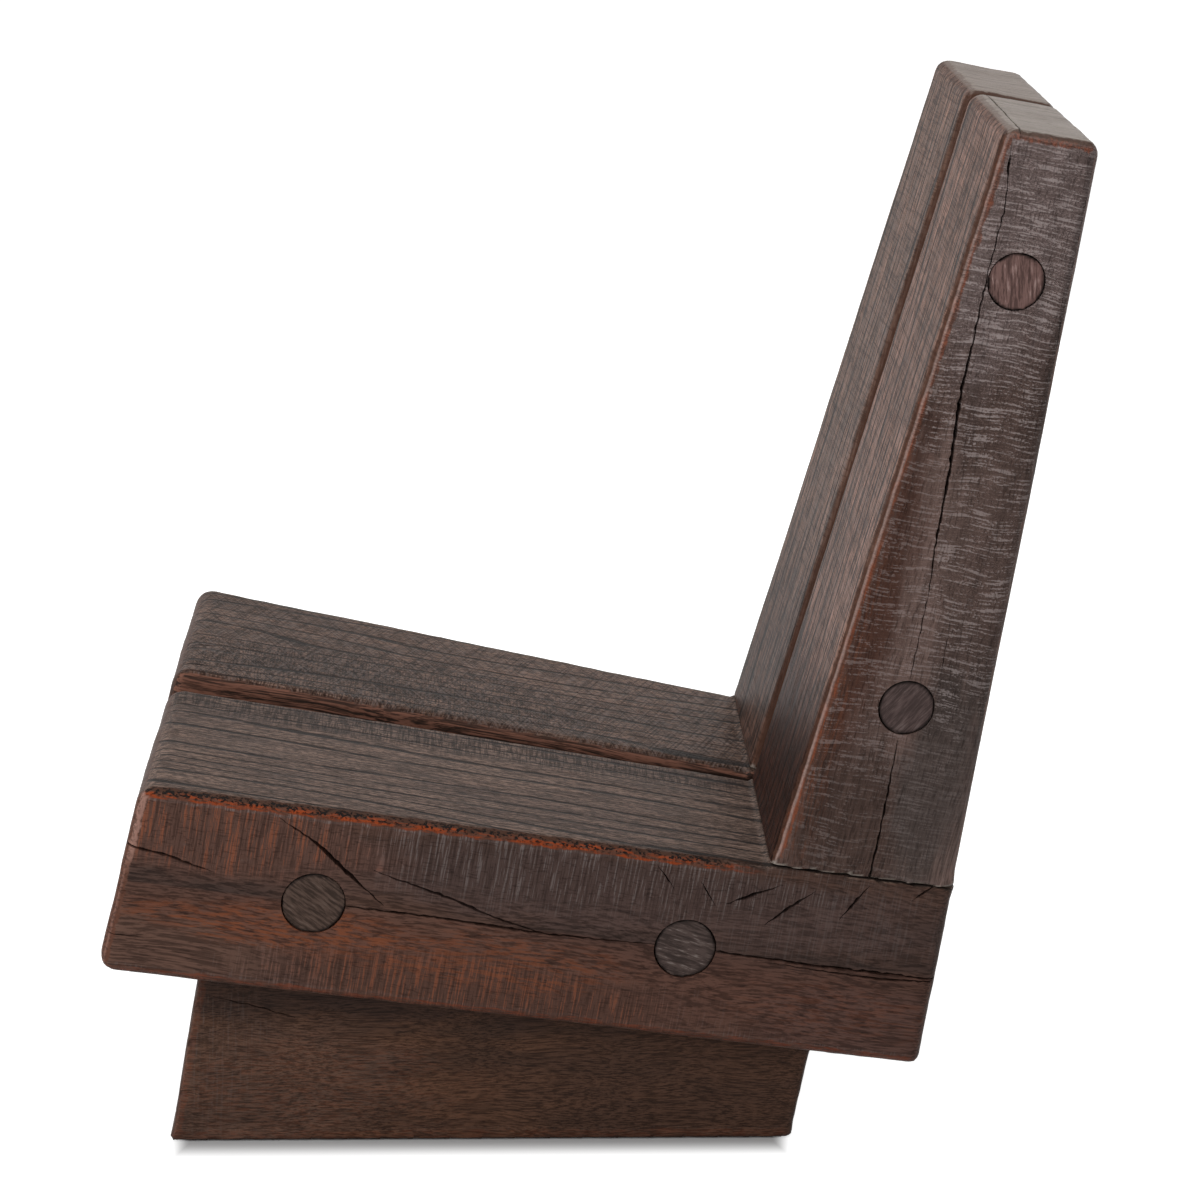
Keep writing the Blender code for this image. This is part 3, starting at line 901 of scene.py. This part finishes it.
DARK, BROWN, RUSSET = paint(48, 30, 25), paint(78, 43, 32), paint(108, 46, 30)
# The greys are brown wood with a painted sheen: the grey that the waxed faces that are sat on show from the
# light they reflect.
GREY, GREY_DARK = paint(105, 80, 69), paint(70, 51, 43)
EMBER, STROKE = paint(200, 64, 30), paint(250, 82, 42)
# The pale pink on this line is the colour of a painted highlight along rounded edges.
EDGE, EDGE_DARK, BLUSH = paint(270, 50, 14), paint(60, 28, 18), paint(330, 185, 148)
# The pale gleam colour on this line is a painted highlight for the crests of the wax ridges.
WAX, GLEAM, BLACK = paint(165, 133, 125), paint(360, 305, 295), paint(10, 7, 6)
SHADE_LOW, SHADE_HIGH = paint(500, 480, 470), paint(1420, 1400, 1390)
# The second colour darkens the foot of the back's front faces: painted shade where the back meets the seat.
DEEP_SHADE, GRIME_SHADE = paint(340, 320, 310), paint(320, 232, 198)
UNDER_SHARE = 0.45
HEART = (0, 0.23, -0.07)
WAX_GLOSS, TINY = 0.06, 0.00001


def patch_mask(w, vector, rag, patches):
    """The strongest of several ragged patches: centre (3), half size (3) and strength."""
    total = 0
    for *spot, strength in patches:
        numbers = [number / 1000 for number in spot]
        mask = w.group(patch_group, Vector=vector, Rag=rag, Centre=numbers[:3], Size=numbers[3:])["Mask"]
        total = w.largest(w.times(mask, strength), total)
    return total


def edge_turn(w, place, cuts):
    """1 on the outer face, 0 on the faces beside it, and in between on the rounded edge."""
    outer, beside = None, None
    for face, (point, normal) in cuts.items():
        deep = w.minus(point.dot(normal), w.vector("DOT_PRODUCT", place, normal, out="Value"))
        if face == "outer":
            outer = w.maths("ABSOLUTE", deep)
        else:
            beside = deep if beside is None else w.maths("MINIMUM", beside, deep)
    whole = w.maths("ADD", w.maths("ADD", outer, beside), TINY)
    return w.maths("DIVIDE", beside, whole, clamp=True)


def new_finish(name):
    """A material, its wires, the sockets of its shader and the place of each point."""
    finish = bpy.data.materials.new(name)
    finish.use_nodes = True
    w = Wires(finish.node_tree)
    shader = finish.node_tree.nodes["Principled BSDF"].inputs
    return finish, w, shader, w.node("TexCoord")["Object"]


def surface(w, shader, colour, roughness, height, strength, distance, gloss=WAX_GLOSS):
    bump = w.node("Bump", {"Height": height, "Strength": strength, "Distance": distance})[0]
    for value, label in ((colour, "Base Color"), (roughness, "Roughness"), (bump, "Normal"),
                         (gloss, "Specular IOR Level")):
        w.plug(value, shader[label])


print("Colours and finish helpers ready")

# %% A finish that grows
class Finish:
    """The finish of one timber: its wires and masks, and its colour and height so far."""

    def __init__(self, name, kind, side, look, seed):
        self.material, self.w, self.shader, place = new_finish(name)
        w, self.look = self.w, look
        origin, turn = timber_frame(kind)
        self.local = w.node("Mapping", {"Vector": place, "Location": origin, "Rotation": (0, turn, 0)},
                            vector_type="TEXTURE")[0]
        self.shifted = w.vector("ADD", self.local, (0.7 * seed, 0.31 * seed, 0.19 * seed))
        self.rag = w.noise(self.shifted, (14, 55, 55), 4, 0.65)
        fine = w.node("VectorMath", {0: self.shifted, 3: look["fine"]}, operation="SCALE")[0]
        self.grain = w.group(grain_group, Vector=fine, Rings=look["rings"])
        self.square = w.group(saw_group, Vector=self.shifted, Spacing=look["spacing"])
        self.turn = edge_turn(w, place, timber_cuts(kind, side))
        self.sit, self.outer = w.attribute("sit"), w.attribute("side")
        self.flat = w.times_plus(w.attribute("under"), UNDER_SHARE, self.sit)
        self.saw_zone, self.wax_zone = self.zone("saw", self.outer), self.zone("ridges", self.outer)

    def patch(self, *patches):
        return patch_mask(self.w, self.local, self.rag, patches)

    def zone(self, label, face):
        return self.w.times(self.patch(*self.look[label]), face)

    def lay(self, amount, colour):
        self.wood = self.w.mix(amount, self.wood, colour)

    def darken(self, amount, shade=DEEP_SHADE):
        self.wood = self.w.mix(amount, self.wood, shade, "MULTIPLY")


print("A finish has", len([name for name in vars(Finish) if not name.startswith("_")]), "small tools")

# %% Wood and fibre
def lay_wood(f):
    """The wood of the sides, of the faces that are sat on (their grey is a painted sheen) and of the gap,
    its fibre, and rubbed red.
    """
    w, look = f.w, f.look
    broad = w.between(f.grain["Band"], 0.36, 0.62)
    side_wood = w.mix(broad, look["side_dark"], look["side"])
    for *spot, colour, strength in look["tones"]:
        side_wood = w.mix(f.patch((*spot, strength)), side_wood, colour)
    if look["step"]:
        level, colour, strength = look["step"]
        up = w.node("SeparateXYZ", {0: f.local})["Z"]
        below = w.between(up, level + 0.001, level - 0.001)
        side_wood = w.mix(w.times(below, strength), side_wood, colour)
    coarse = w.between(w.noise(f.shifted, look["sit_stretch"], 3, 0.65), 0.43, 0.56)
    sit_wood = w.mix(1, w.mix(broad, look["sit_dark"], look["sit"]),
                     w.mix(coarse, SHADE_LOW, SHADE_HIGH), "MULTIPLY")
    f.wood = w.mix(f.flat, side_wood, sit_wood)
    fibre = f.grain["Fibre"]
    f.lay(w.attribute("gap"), w.mix(w.between(fibre, 0.41, 0.58), look["gap_dark"], look["gap"]))
    f.darken(w.times_plus(w.largest(f.saw_zone, f.wax_zone), -0.9, look["fibre"], clamp=True),
             w.mix(w.between(fibre, 0.41, 0.57), SHADE_LOW, SHADE_HIGH))
    f.lay(w.times(f.zone("red", f.outer), w.between(f.grain["Flame"], 0.47, 0.58)), EMBER)
    f.height = w.times(fibre, 0.5)


print("Wood is shaded from", SHADE_LOW[0], "to", SHADE_HIGH[0])

# %% Saw strokes and scratches
HATCH_SPACING, THREAD_SPACING = (600, 40, 40), (11, 520, 520)


def lay_strokes(f):
    """Saw strokes on the sides, stitches, threads and slanting scratches on the flat faces."""
    w = f.w
    f.lay(w.times(f.square["Pale"], f.saw_zone, 0.75), w.mix(f.zone("warm", f.outer), WAX, STROKE))
    f.darken(w.times(f.square["Deep"], f.saw_zone, 0.65))
    f.height = w.times_plus(f.square["Height"], f.saw_zone, f.height)
    hatch = w.group(saw_group, Vector=f.shifted, Spacing=HATCH_SPACING)
    f.darken(w.times(w.between(hatch["Height"], 0.53, 0.45), f.zone("hatch", f.sit)))
    thread = w.group(saw_group, Vector=f.shifted, Spacing=THREAD_SPACING)
    f.darken(w.times(thread["Deep"], f.flat, f.look["threads"]))
    for angle, strength in f.look["slants"]:
        slanted = w.node("VectorRotate", {"Vector": f.shifted, "Axis": (0, 0, 1),
                                          "Angle": math.radians(angle)}, rotation_type="AXIS_ANGLE")[0]
        cross = w.group(saw_group, Vector=slanted, Spacing=f.look["scratch"])
        f.darken(w.times(cross["Deep"], f.flat, strength))
        f.lay(w.times(cross["Pale"], f.flat, 0.4 * strength), WAX)
        f.height = w.minus(f.height, w.times(cross["Deep"], f.flat, 0.5 * strength))


print("Stitches stand", HATCH_SPACING[0], "to the metre")

# %% Wax ridges, growth lines, pores and end grain
def lay_grain(f):
    w, look = f.w, f.look
    wax = w.group(ridge_group, Vector=f.shifted)
    # Painted shade in the hollows between the ridges, and a painted highlight on their crests.
    f.darken(w.times(wax["Hollow"], f.wax_zone, 0.85))
    f.lay(w.times(wax["Gleam"], f.wax_zone, 0.65), GLEAM)
    f.height = w.times_plus(wax["Ridge"], w.times(f.wax_zone, 1.3), f.height)
    lines = w.times(f.grain["Line"], w.mix_value(f.flat, look["side_lines"], look["sit_lines"]))
    f.lay(lines, BLACK)
    f.darken(w.times(f.grain["Pore"], look["pores"]))
    f.height = w.minus(f.height, w.times(lines, 0.4))


def lay_ends(f):
    """End grain in rings round the heart of the tree, and painted shade low on the sitting faces of the
    backs, where they meet the seat.
    """
    w = f.w
    from_heart = w.vector("DISTANCE", w.vector("MULTIPLY", f.local, (0, 1, 1)), HEART, out="Value")
    wavy = w.times_plus(w.noise(f.shifted, (9, 16, 16)), 0.03, from_heart)
    ring_place = w.node("CombineXYZ", {"X": wavy, "Y": w.times(f.rag, 0.004)})[0]
    ring_marks = w.between(w.noise(ring_place, (420, 420, 1), 3, 0.6), 0.42, 0.54)
    f.lay(w.attribute("end"), w.mix(ring_marks, f.look["end_dark"], f.look["end"]))
    # Painted shade low on the back's front faces, where they meet the seat.
    for spot in f.look["grime"]:
        f.darken(w.times(f.patch(spot), f.sit), GRIME_SHADE)


print("Heart of the tree at", HEART)

# %% Worn edges and cracks
def lay_edges(f):
    """Worn edges, their specks of old wax, painted highlights on them, and last painted shade in the
    cracks.
    """
    w, look = f.w, f.look
    rim, glow, blush, pit = (w.attribute(name) for name in ("rim", "glow", "blush", "pit"))
    edge = w.group(edge_group, Vector=f.shifted, Rim=rim, Turn=f.turn)
    # A pale fringe along the worn band: wax, painted brighter as a glint.
    f.lay(w.times(edge["Fringe"], glow, w.times_plus(f.square["Pale"], 0.7, 0.15)), WAX)
    mottled = w.mix(w.between(f.grain["Flame"], 0.44, 0.58), RUSSET, look["band"])
    f.lay(w.times(edge["Wear"], glow), w.mix(edge["Ember"], EDGE_DARK, mottled))
    rubbed = w.times(edge["Wear"], blush)
    f.lay(w.times(rubbed, w.minus(1, glow)), RUSSET)
    # A painted highlight: a thin pale line along the round of the edge, and a broad soft one inside the
    # soft patches.
    shine = w.largest(w.times(edge["Shine"], look["shine"]), f.zone("soft", edge["Ember"]))
    f.lay(w.times(rubbed, shine), look["pale"])
    speck = w.times(edge["Speck"], w.largest(glow, w.times(blush, 0.45)), edge["Wear"], look["specks"])
    f.lay(speck, BLACK)
    # Cracks and bores are painted black: painted shade in the deep cuts.
    f.lay(pit, BLACK)
    f.height = w.minus(f.height, w.times(speck, 0.9))
    dull = w.times_plus(pit, 0.4, w.times_plus(f.grain["Fibre"], 0.25, 0.36), clamp=True)
    surface(w, f.shader, f.wood, dull, f.height, 0.9, 0.0012)


def timber_finish(name, kind, side, look, seed):
    finish = Finish(name, kind, side, look, seed)
    for step in (lay_wood, lay_strokes, lay_grain, lay_ends, lay_edges):
        step(finish)
    return finish.material


print("Timber finish ready")

# %% [markdown]
# ## Six different looks
# The near seat timber is the reddest: its upper front corner and the band below the long check are
# rubbed to the red wood, and fine saw strokes hang from its top edge. The near back timber is dark,
# with wax ridges above and a red zone along its front edge. The base is plain brown. A patch is a
# row of seven numbers, its centre, its half size and its strength, and a tone has its colour before
# the strength.

# %% The plain looks
PLAIN = {
    "side": BROWN, "side_dark": DARK,
    # The colours of the faces that are sat on hold a painted grey sheen as well as the wood.
    "sit": GREY, "sit_dark": GREY_DARK,
    "end": BROWN, "end_dark": DARK,
    "tones": (), "red": (), "warm": (), "saw": (),
    "hatch": (), "ridges": (), "grime": (), "soft": (), "step": None,
    # The shine below and the pale on the next line are the strength and colour of the painted edge
    # highlight.
    "specks": 1, "shine": 0.7, "threads": 0.45,
    "gap": RUSSET, "gap_dark": DARK, "band": EDGE, "pale": BLUSH,
    "slants": ((38, 0.4),), "spacing": (560, 12, 24), "scratch": (560, 16, 16),
    "sit_stretch": (150, 640, 640), "rings": 1, "fine": 1,
    "fibre": 0.6, "sit_lines": 0.95, "side_lines": 0.5, "pores": 0.55,
}
PLAIN_BACK = {**PLAIN, "scratch": (430, 16, 16), "sit_stretch": (30, 240, 240),
              "side_lines": 0.15, "threads": 0.9}
PLAIN_BASE = {**PLAIN, "sit": BROWN, "sit_dark": DARK, "side_lines": 0.12, "fibre": 0.95, "fine": 1.9,
              "rings": 0.7, "pores": 0.6}
print("Plain look:", len(PLAIN), "entries")

# %% Look of the near seat timber
NEAR_SEAT = {
    **PLAIN,
    "sit": paint(128, 88, 70), "sit_dark": paint(90, 61, 49),
    "tones": (
        (400, -250, -40, 340, 300, 42, paint(74, 47, 41), 0.9),
        (60, -260, -30, 190, 300, 50, paint(104, 54, 41), 0.95),
        (150, -260, -105, 150, 300, 26, RUSSET, 0.8),
        (420, -250, -120, 280, 300, 40, paint(88, 45, 34), 0.6),
        (30, -260, -135, 120, 300, 34, paint(96, 60, 46), 0.9),
        (620, -220, -130, 120, 300, 40, paint(66, 41, 37), 0.8),
    ),
    "red": (
        (140, -260, -104, 140, 300, 22, 0.85),
        (300, -250, -112, 140, 300, 28, 0.6),
        (590, -220, -120, 120, 300, 30, 0.22),
    ),
    "warm": (
        (60, -260, -30, 170, 300, 55, 1),
        (300, -260, -140, 220, 300, 40, 1),
    ),
    "saw": (
        (80, -260, -20, 170, 300, 52, 0.9),
        (330, -250, -18, 280, 300, 50, 0.85),
        (300, -250, -140, 240, 300, 36, 0.75),
        (540, -220, -40, 160, 300, 50, 0.22),
    ),
    "hatch": ((200, -36, 0, 380, 46, 300, 1),),
    # The soft patch paints a broad pale highlight high on the front edge; shine sets the thin one.
    "slants": ((62, 0.25),), "soft": ((0, -270, -10, 60, 300, 70, 0.8),),
    "shine": 0.35, "side_lines": 0.08, "fibre": 0.8,
    "step": (-0.0805, paint(104, 50, 36), 0.45),
}
print("Near seat:", len(NEAR_SEAT["tones"]), "tones")

# %% Looks of the near back and base timbers
NEAR_BACK = {
    **PLAIN_BACK,
    "side": paint(201, 134, 116), "side_dark": paint(139, 92, 79),
    "sit": paint(232, 135, 105), "sit_dark": paint(156, 90, 69),
    # The pale end grain on top is its own grey wood with painted light: the sheen of the light from above.
    "end": paint(281, 240, 210), "end_dark": paint(168, 138, 119),
    "tones": (
        # The first tone is painted light: the upper part of the side is made brighter, as if lit from close
        # above with a wax sheen.
        (560, -200, -60, 160, 300, 90, paint(290, 218, 206), 0.9),
        (230, -210, -18, 260, 300, 45, paint(85, 40, 29), 0.95),
        (30, -210, -60, 110, 300, 70, paint(68, 42, 34), 0.9),
        (100, -210, -120, 130, 300, 40, paint(78, 59, 53), 0.9),
    ),
    "red": ((200, -210, -15, 220, 300, 22, 0.4),),
    "ridges": (
        (500, -200, -80, 200, 300, 100, 1),
        (290, -210, -115, 180, 300, 60, 0.75),
        (260, -210, -45, 270, 300, 75, 0.42),
        (90, -210, -80, 150, 300, 85, 0.2),
    ),
    "saw": ((120, -210, -110, 130, 300, 60, 0.3),),
    # The shine below and the pale on the next line paint the highlight along the back's front edge.
    "slants": ((2, 0.6), (70, 0.25)), "shine": 0.6, "specks": 0.2,
    "band": paint(230, 64, 30), "pale": paint(430, 310, 275),
    # Painted shade at the foot of the front face, where the back meets the seat.
    "grime": ((0, -100, 0, 200, 400, 60, 0.95), (0, -100, 0, 150, 400, 60, 0.8)),
}
NEAR_BASE = {
    **PLAIN_BASE,
    "side": paint(84, 42, 26), "side_dark": paint(52, 28, 19),
    "tones": ((100, -240, 50, 160, 300, 70, paint(100, 62, 48), 0.4),
              (480, -220, 50, 200, 300, 90, paint(56, 30, 21), 0.6),
              (300, -220, 150, 450, 300, 55, paint(34, 20, 16), 0.8)),
    "red": ((140, -240, 50, 160, 300, 50, 0.22),),
    "saw": ((60, -240, 80, 50, 300, 80, 0.15),),
}
print("Near back:", len(NEAR_BACK["tones"]), "tones")

# %% Looks of the far timbers
FAR_SEAT = {
    **PLAIN,
    "sit": paint(142, 90, 68), "sit_dark": paint(94, 60, 45),
    "tones": ((300, 250, -40, 340, 300, 42, paint(76, 48, 41), 0.9),
              (420, 250, -118, 300, 300, 42, RUSSET, 0.8),
              (60, 260, -110, 140, 300, 50, paint(96, 60, 46), 0.8)),
    "red": ((300, 250, -105, 250, 300, 36, 0.7),),
    "warm": ((480, 240, -30, 200, 300, 60, 1),),
    "saw": ((300, 250, -30, 320, 300, 56, 0.85),), "side_lines": 0.12,
    "hatch": ((170, 70, 0, 240, 95, 300, 1),),
    "slants": ((20, 0.8), (-28, 0.65)),
    "sit_lines": 0.9, "threads": 0.8, "gap": paint(140, 64, 44), "gap_dark": paint(36, 22, 17),
}
FAR_BACK = {
    **PLAIN_BACK,
    "side": paint(160, 106, 92), "side_dark": paint(108, 71, 61),
    "tones": ((220, 210, -20, 280, 300, 50, paint(92, 46, 34), 0.9),
              (50, 210, -90, 130, 300, 80, paint(76, 52, 45), 0.9)),
    "sit": paint(190, 115, 88), "sit_dark": paint(126, 76, 58),
    # The pale end grain on top is its own grey wood with painted light: the sheen of the light from above.
    "end": paint(250, 206, 179), "end_dark": paint(154, 124, 105),
    "gap": paint(46, 20, 14), "gap_dark": paint(14, 8, 6),
    "red": ((300, 210, -30, 200, 300, 30, 0.5),),
    "ridges": ((400, 200, -80, 240, 300, 70, 0.8),),
    "slants": ((-2, 0.65), (70, 0.25)),
    # Painted shade at the foot of the front face, where the back meets the seat.
    "grime": ((0, 100, 0, 220, 400, 60, 0.7),),
}
FAR_BASE = {**PLAIN_BASE, "red": ((250, 240, 70, 220, 300, 50, 0.4),)}
print("Far back:", len(FAR_BACK["tones"]), "tones")

# %% Dress the timbers
LOOKS = {
    ("seat", LEFT): (NEAR_SEAT, "timber_red"), ("seat", RIGHT): (FAR_SEAT, "timber_brown"),
    ("back", LEFT): (NEAR_BACK, "timber_dark"), ("back", RIGHT): (FAR_BACK, "timber_brown"),
    ("base", LEFT): (NEAR_BASE, "timber_brown"), ("base", RIGHT): (FAR_BASE, "timber_dark"),
}


def dress(piece, finish):
    piece.data.materials.clear()
    piece.data.materials.append(finish)


for (kind, side), (look, slot) in LOOKS.items():
    piece = timbers[kind, side]
    dress(piece, timber_finish("finish_" + piece.name, kind, side, look, SEEDS[kind, side]))
    print("Finished", piece.name)

# %% [markdown]
# ## Dowel ends
# The dowels show end grain: fine short streaks under dark wax. Each end is cut from another stick,
# so the streaks lean another way.

# %% Dowel finish
def dowel_finish(name, tone, pale_tone, lean, low, seed):
    finish, w, shader, place = new_finish(name)
    turned = w.node("Mapping", {"Vector": place, "Rotation": (0, lean, 0),
                                "Location": (0.3 * seed, 0, 0)})[0]
    streak = w.noise(turned, (480, 12, 60), 4, 0.65)
    cloud = w.noise(turned, (70, 9, 70), 2)
    dark = (tone[0] * low, tone[1] * low, tone[2] * low, 1)
    wood = w.mix(w.between(streak, 0.40, 0.58), dark, tone)
    pale = w.times(w.between(streak, 0.56, 0.66), w.between(cloud, 0.40, 0.56), 0.8)
    ragged = w.times(w.attribute("rim"), w.between(cloud, 0.36, 0.52))
    wood = w.mix(ragged, w.mix(pale, wood, pale_tone), BLACK)
    surface(w, shader, wood, w.times_plus(streak, 0.3, 0.38), streak, 0.8, 0.0008)
    return finish


# For each dowel: its tone, its pale streaks, their lean, and how dark the hollows are.
DOWEL_TONES = {
    "seat_dowel_front": (paint(94, 61, 48), paint(130, 92, 76), 0.9, 0.40),
    "seat_dowel_rear": (paint(88, 62, 55), paint(260, 215, 195), 1.27, 0.45),
    "back_dowel_lower": (paint(106, 73, 68), paint(160, 122, 114), -0.7, 0.55),
    "back_dowel_upper": (paint(215, 126, 112), paint(420, 300, 275), 0.10, 0.45),
}
for number, (node, tones) in enumerate(DOWEL_TONES.items()):
    dress(pegs[node], dowel_finish("finish_" + node, *tones, number + 1))
print("Dowel ends finished")

# %% [markdown]
# ## Hidden hardware
# Tenons, bolts and washers keep their CAD shapes. They are out of sight unless the chair is turned
# over or taken apart, but they still get a wood and a steel of their own.

# %% Tenon and steel finishes
def plain_finish(name, light, dark, stretch, metallic, rough):
    finish, w, shader, place = new_finish(name)
    pattern = w.noise(place, stretch, 3, 0.6)
    colour = w.mix(w.between(pattern, 0.35, 0.65), dark, light)
    surface(w, shader, colour, w.times_plus(pattern, 0.3, rough), pattern, 0.3, 0.0004, gloss=0.5)
    shader["Metallic"].default_value = metallic
    return finish


tenon_finish = plain_finish("finish_tenon", paint(300, 190, 110), paint(200, 120, 70),
                            (320, 320, 12), 0, 0.45)
steel_finish = plain_finish("finish_steel", paint(460, 460, 470), paint(330, 330, 340),
                            (160, 160, 160), 1, 0.25)
HARDWARE = {"tenon": tenon_finish, "bolt": steel_finish, "washer": steel_finish}
for node, cad_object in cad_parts.items():
    for word, finish in HARDWARE.items():
        if word in node:
            dress(cad_object, finish)
print("Hidden hardware finished")

# %% [markdown]
# ## Floor, light and camera
# The photograph has a pure white ground with a thin soft shadow. The floor is white and glows for
# the camera only, so it reads as white, and the glow fades close beside the base, where the shadow
# lies. A large lamp from the upper left and a soft one from above model the timbers. Two weak fill
# lamps, one in front and one behind the far side, keep the other faces from going black.

# %% Floor and world
FLOOR_DROP = 0.0005
FLOOR_GLOW, SHADOW_REACH, SHADOW_SLANT = 0.96, 0.039, 0.12
WORLD_LEVEL = 0.32


def seen_directly(w):
    path = w.node("LightPath")
    return w.largest(path["Is Camera Ray"], path["Is Glossy Ray"], path["Is Transmission Ray"])


bpy.ops.mesh.primitive_plane_add(size=60, location=(0, 0, -FLOOR_DROP))
floor = bpy.context.object
floor.name = "studio_floor"
floor_finish = bpy.data.materials.new("studio_white")
floor_finish.use_nodes = True
floor_finish.node_tree.nodes.clear()
w = Wires(floor_finish.node_tree)
axes = w.node("SeparateXYZ", {0: w.node("TexCoord")["Object"]})
from_middle = w.maths("ABSOLUTE", w.minus(axes["X"], FRONT_X + (BASE_FRONT + BASE_REAR) / 2))
half_width = w.times_plus(axes["X"], -OUTER_SLOPE, FRONT_WIDTH / 2 - INSETS["base"] + OUTER_SLOPE * FRONT_X)
beside_y = w.minus(w.maths("ABSOLUTE", axes["Y"]), half_width)
narrowed = w.times_plus(w.largest(beside_y, 0), SHADOW_SLANT, from_middle)
beside_x = w.minus(narrowed, (BASE_REAR - BASE_FRONT) / 2)
# Beside the base the camera glow falls away in a band, so the floor there is grey even where light reaches
# it: a painted shadow, deepened by the real one.
far_glow = w.largest(w.between(beside_x, -0.018, 0.003), w.between(beside_y, 0, SHADOW_REACH))
matt = w.node("BsdfDiffuse", {"Color": paint(500, 500, 500)})[0]
glow = w.node("Emission", {"Strength": w.times(seen_directly(w), far_glow, FLOOR_GLOW)})[0]
w.node("OutputMaterial", {"Surface": w.node("AddShader", {0: matt, 1: glow})[0]})
floor.data.materials.append(floor_finish)

world = bpy.data.worlds.new("studio")
bpy.context.scene.world = world
world.use_nodes = True
w = Wires(world.node_tree)
background = world.node_tree.nodes["Background"].inputs
background["Color"].default_value = paint(1000, 1000, 1000)
w.plug(w.times_plus(seen_directly(w), 1 - WORLD_LEVEL, WORLD_LEVEL), background["Strength"])
print("World level:", WORLD_LEVEL)

# %% Lamps
TARGET = Vector((0, 0, 0.40))
# For each lamp: its place, its width in metres and its watts.
LAMPS = {
    "key_left": ((-2.2, -1.8, 2), 1.6, 58),
    "soft_top": ((0.2, 0.4, 3), 2.4, 28),
    "fill_front": ((-1, -3.2, 1.1), 2.5, 19),
    "fill_far": ((1.6, 2.7, 0.45), 2, 12),
}
for name, (place, size, watts) in LAMPS.items():
    lamp = bpy.data.lights.new(name, "AREA")
    lamp.shape = "DISK"
    lamp.size = size
    lamp.energy = watts
    holder = bpy.data.objects.new(name, lamp)
    bpy.context.scene.collection.objects.link(holder)
    holder.location = place
    holder.rotation_euler = (TARGET - Vector(place)).to_track_quat("-Z", "Y").to_euler()
print("Lamps:", ", ".join(LAMPS))

# %% Camera
CAMERA_PLACE = (0.23436 + FRONT_X, -2.64196, 1.22162)
CAMERA_TURN = (72.86477, -3.56381, -1.70398)
lens = bpy.data.cameras.new("photo_camera")
lens.sensor_width = 36
lens.lens = 96.93
camera = bpy.data.objects.new("photo_camera", lens)
bpy.context.scene.collection.objects.link(camera)
camera.location = CAMERA_PLACE
camera.rotation_euler = Euler([math.radians(angle) for angle in CAMERA_TURN])
bpy.context.scene.camera = camera
bpy.context.scene.view_settings.view_transform = "Standard"
print("Camera at", [round(c, 3) for c in CAMERA_PLACE])

# %% [markdown]
# ## The CAD model's box
# The visual model must stay inside the CAD model's box.
